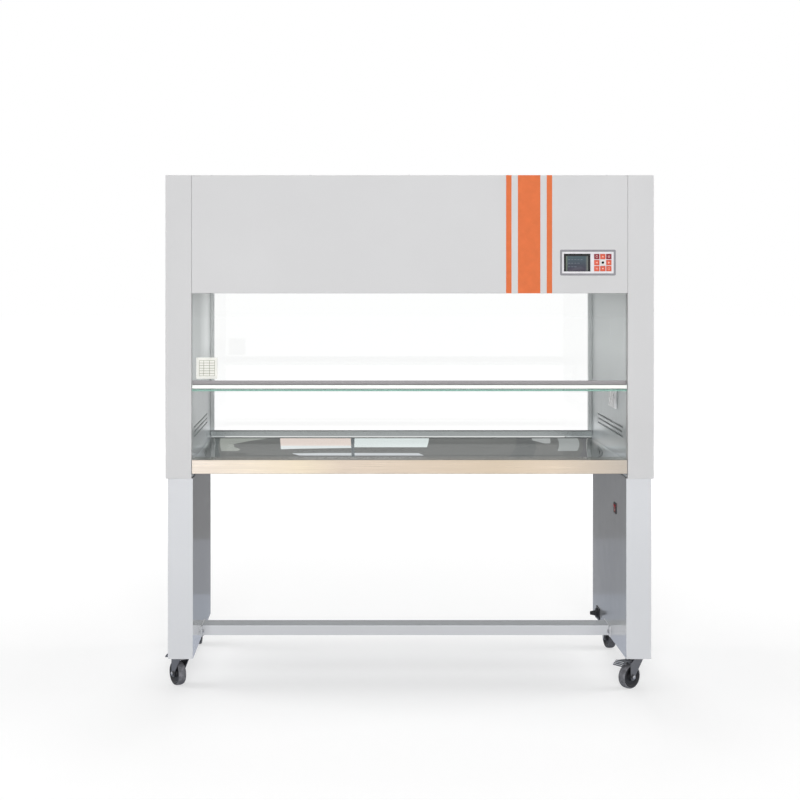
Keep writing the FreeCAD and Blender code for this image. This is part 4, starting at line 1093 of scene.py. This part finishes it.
def stroke(width, height, y=0.0):
    """A short printed bar of a sign."""
    bar = soft_plate(width, height, sign_depth, corner=0.0003, edge=0.00005)
    return bar, Matrix.Translation((0, y, 0))


def arrow(turn):
    """A flat triangle that points up before it is turned."""
    points = [(-0.0032, -0.002), (0.0032, -0.002), (0, 0.003)]
    rings = [[Vector((x, y, z)) for x, y in points] for z in (0, sign_depth)]
    return [(stacked(rings), Matrix.Rotation(math.radians(turn), 4, "Z"))]


def dashes(count):
    """Level bars above each other."""
    return [stroke(0.0066, 0.001, (i - (count - 1) / 2) * 0.0026) for i in range(count)]


def ring_mark():
    """A flat ring."""
    mark = plate_frame(0.0072, 0.0072, sign_depth, corner=0.0036, band=0.0008)
    return [(mark, Matrix.Identity(4))]


def power_mark():
    """A flat ring with an upright bar across its top."""
    bar = soft_plate(0.0011, 0.004, depth=0.0002, corner=0.0003, edge=0.00005)
    return ring_mark() + [(bar, Matrix.Translation((0, 0.0026, 0)))]


def dot_mark():
    """A flat round dot."""
    return [(turned([(0.0042, 0), (0.0042, sign_depth)], 28), Matrix.Identity(4))]


def add_key_marks():
    """A small generic sign on each key."""
    signs = {
        "top_left": (power_mark(), "key_print"),
        "top_middle": (arrow(0), "key_print"),
        "top_right": (dashes(3), "key_print"),
        "middle_left": (arrow(90), "key_print"),
        "centre": (dot_mark(), "display_black"),
        "middle_right": (arrow(-90), "key_print"),
        "bottom_left": (dashes(2), "key_print"),
        "bottom_middle": (arrow(180), "key_print"),
        "bottom_right": (ring_mark(), "key_print"),
    }
    for key, (parts, material) in signs.items():
        low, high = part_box("key_" + key)
        mesh = joined(parts)
        mesh.transform(facing(((low.x + high.x) / 2, low.y, (low.z + high.z) / 2), (0, -1, 0)))
        add_piece("key_mark_" + key, mesh, material, "key_" + key)


# The rocker's tilt at rest in degrees, how far each of its two faces falls over half its height,
# and each face's middle: out from the pivot, and up or down from it
rocker_rest = -9.0
face_fall = 0.00225
face_half = 0.012
face_middle = (-0.0034, 0.006)


def add_switch_marks():
    """On and off marks on the two faces of the rocker."""
    joint = next(j for j in frame["joints"] if j["name"] == "power_rocker_tilt")
    turn = Matrix.Rotation(math.radians(rocker_rest), 4, "Y")
    tilt = Matrix.Translation(Vector(joint["pos_m"])) @ turn
    slope = math.atan2(face_fall, face_half)
    for name, side, parts in (("on", 1, [stroke(0.001, 0.0066)]), ("off", -1, ring_mark())):
        mesh = joined(parts)
        outward = Vector((-math.cos(slope), 0, -side * math.sin(slope)))
        mesh.transform(tilt @ facing((face_middle[0], 0, side * face_middle[1]), outward))
        add_piece("rocker_mark_" + name, mesh, "key_print", "power_rocker")


def spaced(start, end, count):
    """Evenly spaced numbers from start to end."""
    return [start + i * (end - start) / (count - 1) for i in range(count)]


def add_fasteners(name, head, places):
    """Equal screws or bolts on the cabinet, as one piece."""
    mesh = joined([(head, place) for place in places])
    add_piece(name, mesh, "screw_steel", "cabinet")


def add_screws():
    """Screws and bolts that hold the panels, the stretcher, the casters and the socket."""
    back, up = (0, 1, 0), (0, 0, 1)
    small = screw_head(0.0042)
    tiny = screw_head(0.0032)

    low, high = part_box("head_rear_panel")
    first, inset = 0.05, 0.012  # first screw from the panel's end, and in from its long edges
    places = [facing((x, high.y, z), back)
              for x in spaced(low.x + first, high.x - first, 7)
              for z in (low.z + inset, high.z - inset)]
    add_fasteners("rear_panel_screws", small, places)

    low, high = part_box("top_cover")
    first, inset = 0.06, 0.014
    places = [facing((x, y, high.z), up, back)
              for x in spaced(low.x + first, high.x - first, 5)
              for y in (low.y + inset, high.y - inset)]
    add_fasteners("top_cover_screws", small, places)

    low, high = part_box("rear_glass_frame")
    first, inset = 0.03, 0.007
    places = [facing((x, high.y, z), back)
              for x in (low.x + inset, high.x - inset)
              for z in spaced(low.z + first, high.z - first, 4)]
    add_fasteners("rear_frame_screws", tiny, places)

    low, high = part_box("stretcher_bar")
    middle_z = (low.z + high.z) / 2
    plate, inset = 0.003, 0.011  # thickness of the bar's end plates, and in from their sides
    places = [facing((x, y, middle_z), (outward, 0, 0))
              for x, outward in ((low.x + plate, 1), (high.x - plate, -1))
              for y in (low.y + inset, high.y - inset)]
    add_fasteners("stretcher_bolts", hex_bolt(0.0055, 0.0045), places)

    plate, apart = 0.0025, 0.025  # thickness of a caster's plate, and half the bolts' spacing
    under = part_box("caster_plates")[1].z - plate
    places = [facing((joint["pos_m"][0] + dx, joint["pos_m"][1] + dy, under), (0, 0, -1), back)
              for spot, joint in joints_named("caster_", "_swivel")
              for dx in (-apart, apart)
              for dy in (-apart, apart)]
    add_fasteners("caster_bolts", hex_bolt(0.0045, 0.0035), places)

    low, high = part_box("power_socket")
    middle_z = (low.z + high.z) / 2
    seat, inset = 0.001, 0.007  # how deep the screws sit, and in from the socket's sides
    places = [facing((low.x + seat, y, middle_z), (-1, 0, 0))
              for y in (low.y + inset, high.y - inset)]
    add_fasteners("socket_screws", tiny, places)


# Caps of the tubes: how long they are, and how far they stand out round the tube
cap_length = 0.022
cap_proud = 0.0003


def add_lamp_caps():
    """Metal caps at the ends of both tubes."""
    for node in ("lamp_tube", "germicidal_tube"):
        low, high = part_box(node)
        radius = (high.z - low.z) / 2 + cap_proud
        centre = (low + high) / 2
        profile = [
            (radius * 0.5, 0), (radius, 0), (radius, cap_length * 0.9),
            (radius * 0.98, cap_length), (radius * 0.9, cap_length),
        ]
        for side, x, inward in (("left", low.x, 1), ("right", high.x, -1)):
            mesh = lathe(profile, 40)
            mesh.transform(facing((x, centre.y, centre.z), (inward, 0, 0)))
            add_piece(node + "_cap_" + side, mesh, "screw_steel", "cabinet")


bpy.context.scene.view_settings.view_transform = "Standard"
add_camera()
add_world()
add_floor()
add_lights()
add_cards()
dress_solids()
add_cords()
add_wheels()
add_axle_caps()
add_pedal_grips()
add_sash_details()
add_panel_details()
add_key_marks()
add_switch_marks()
add_screws()
add_lamp_caps()
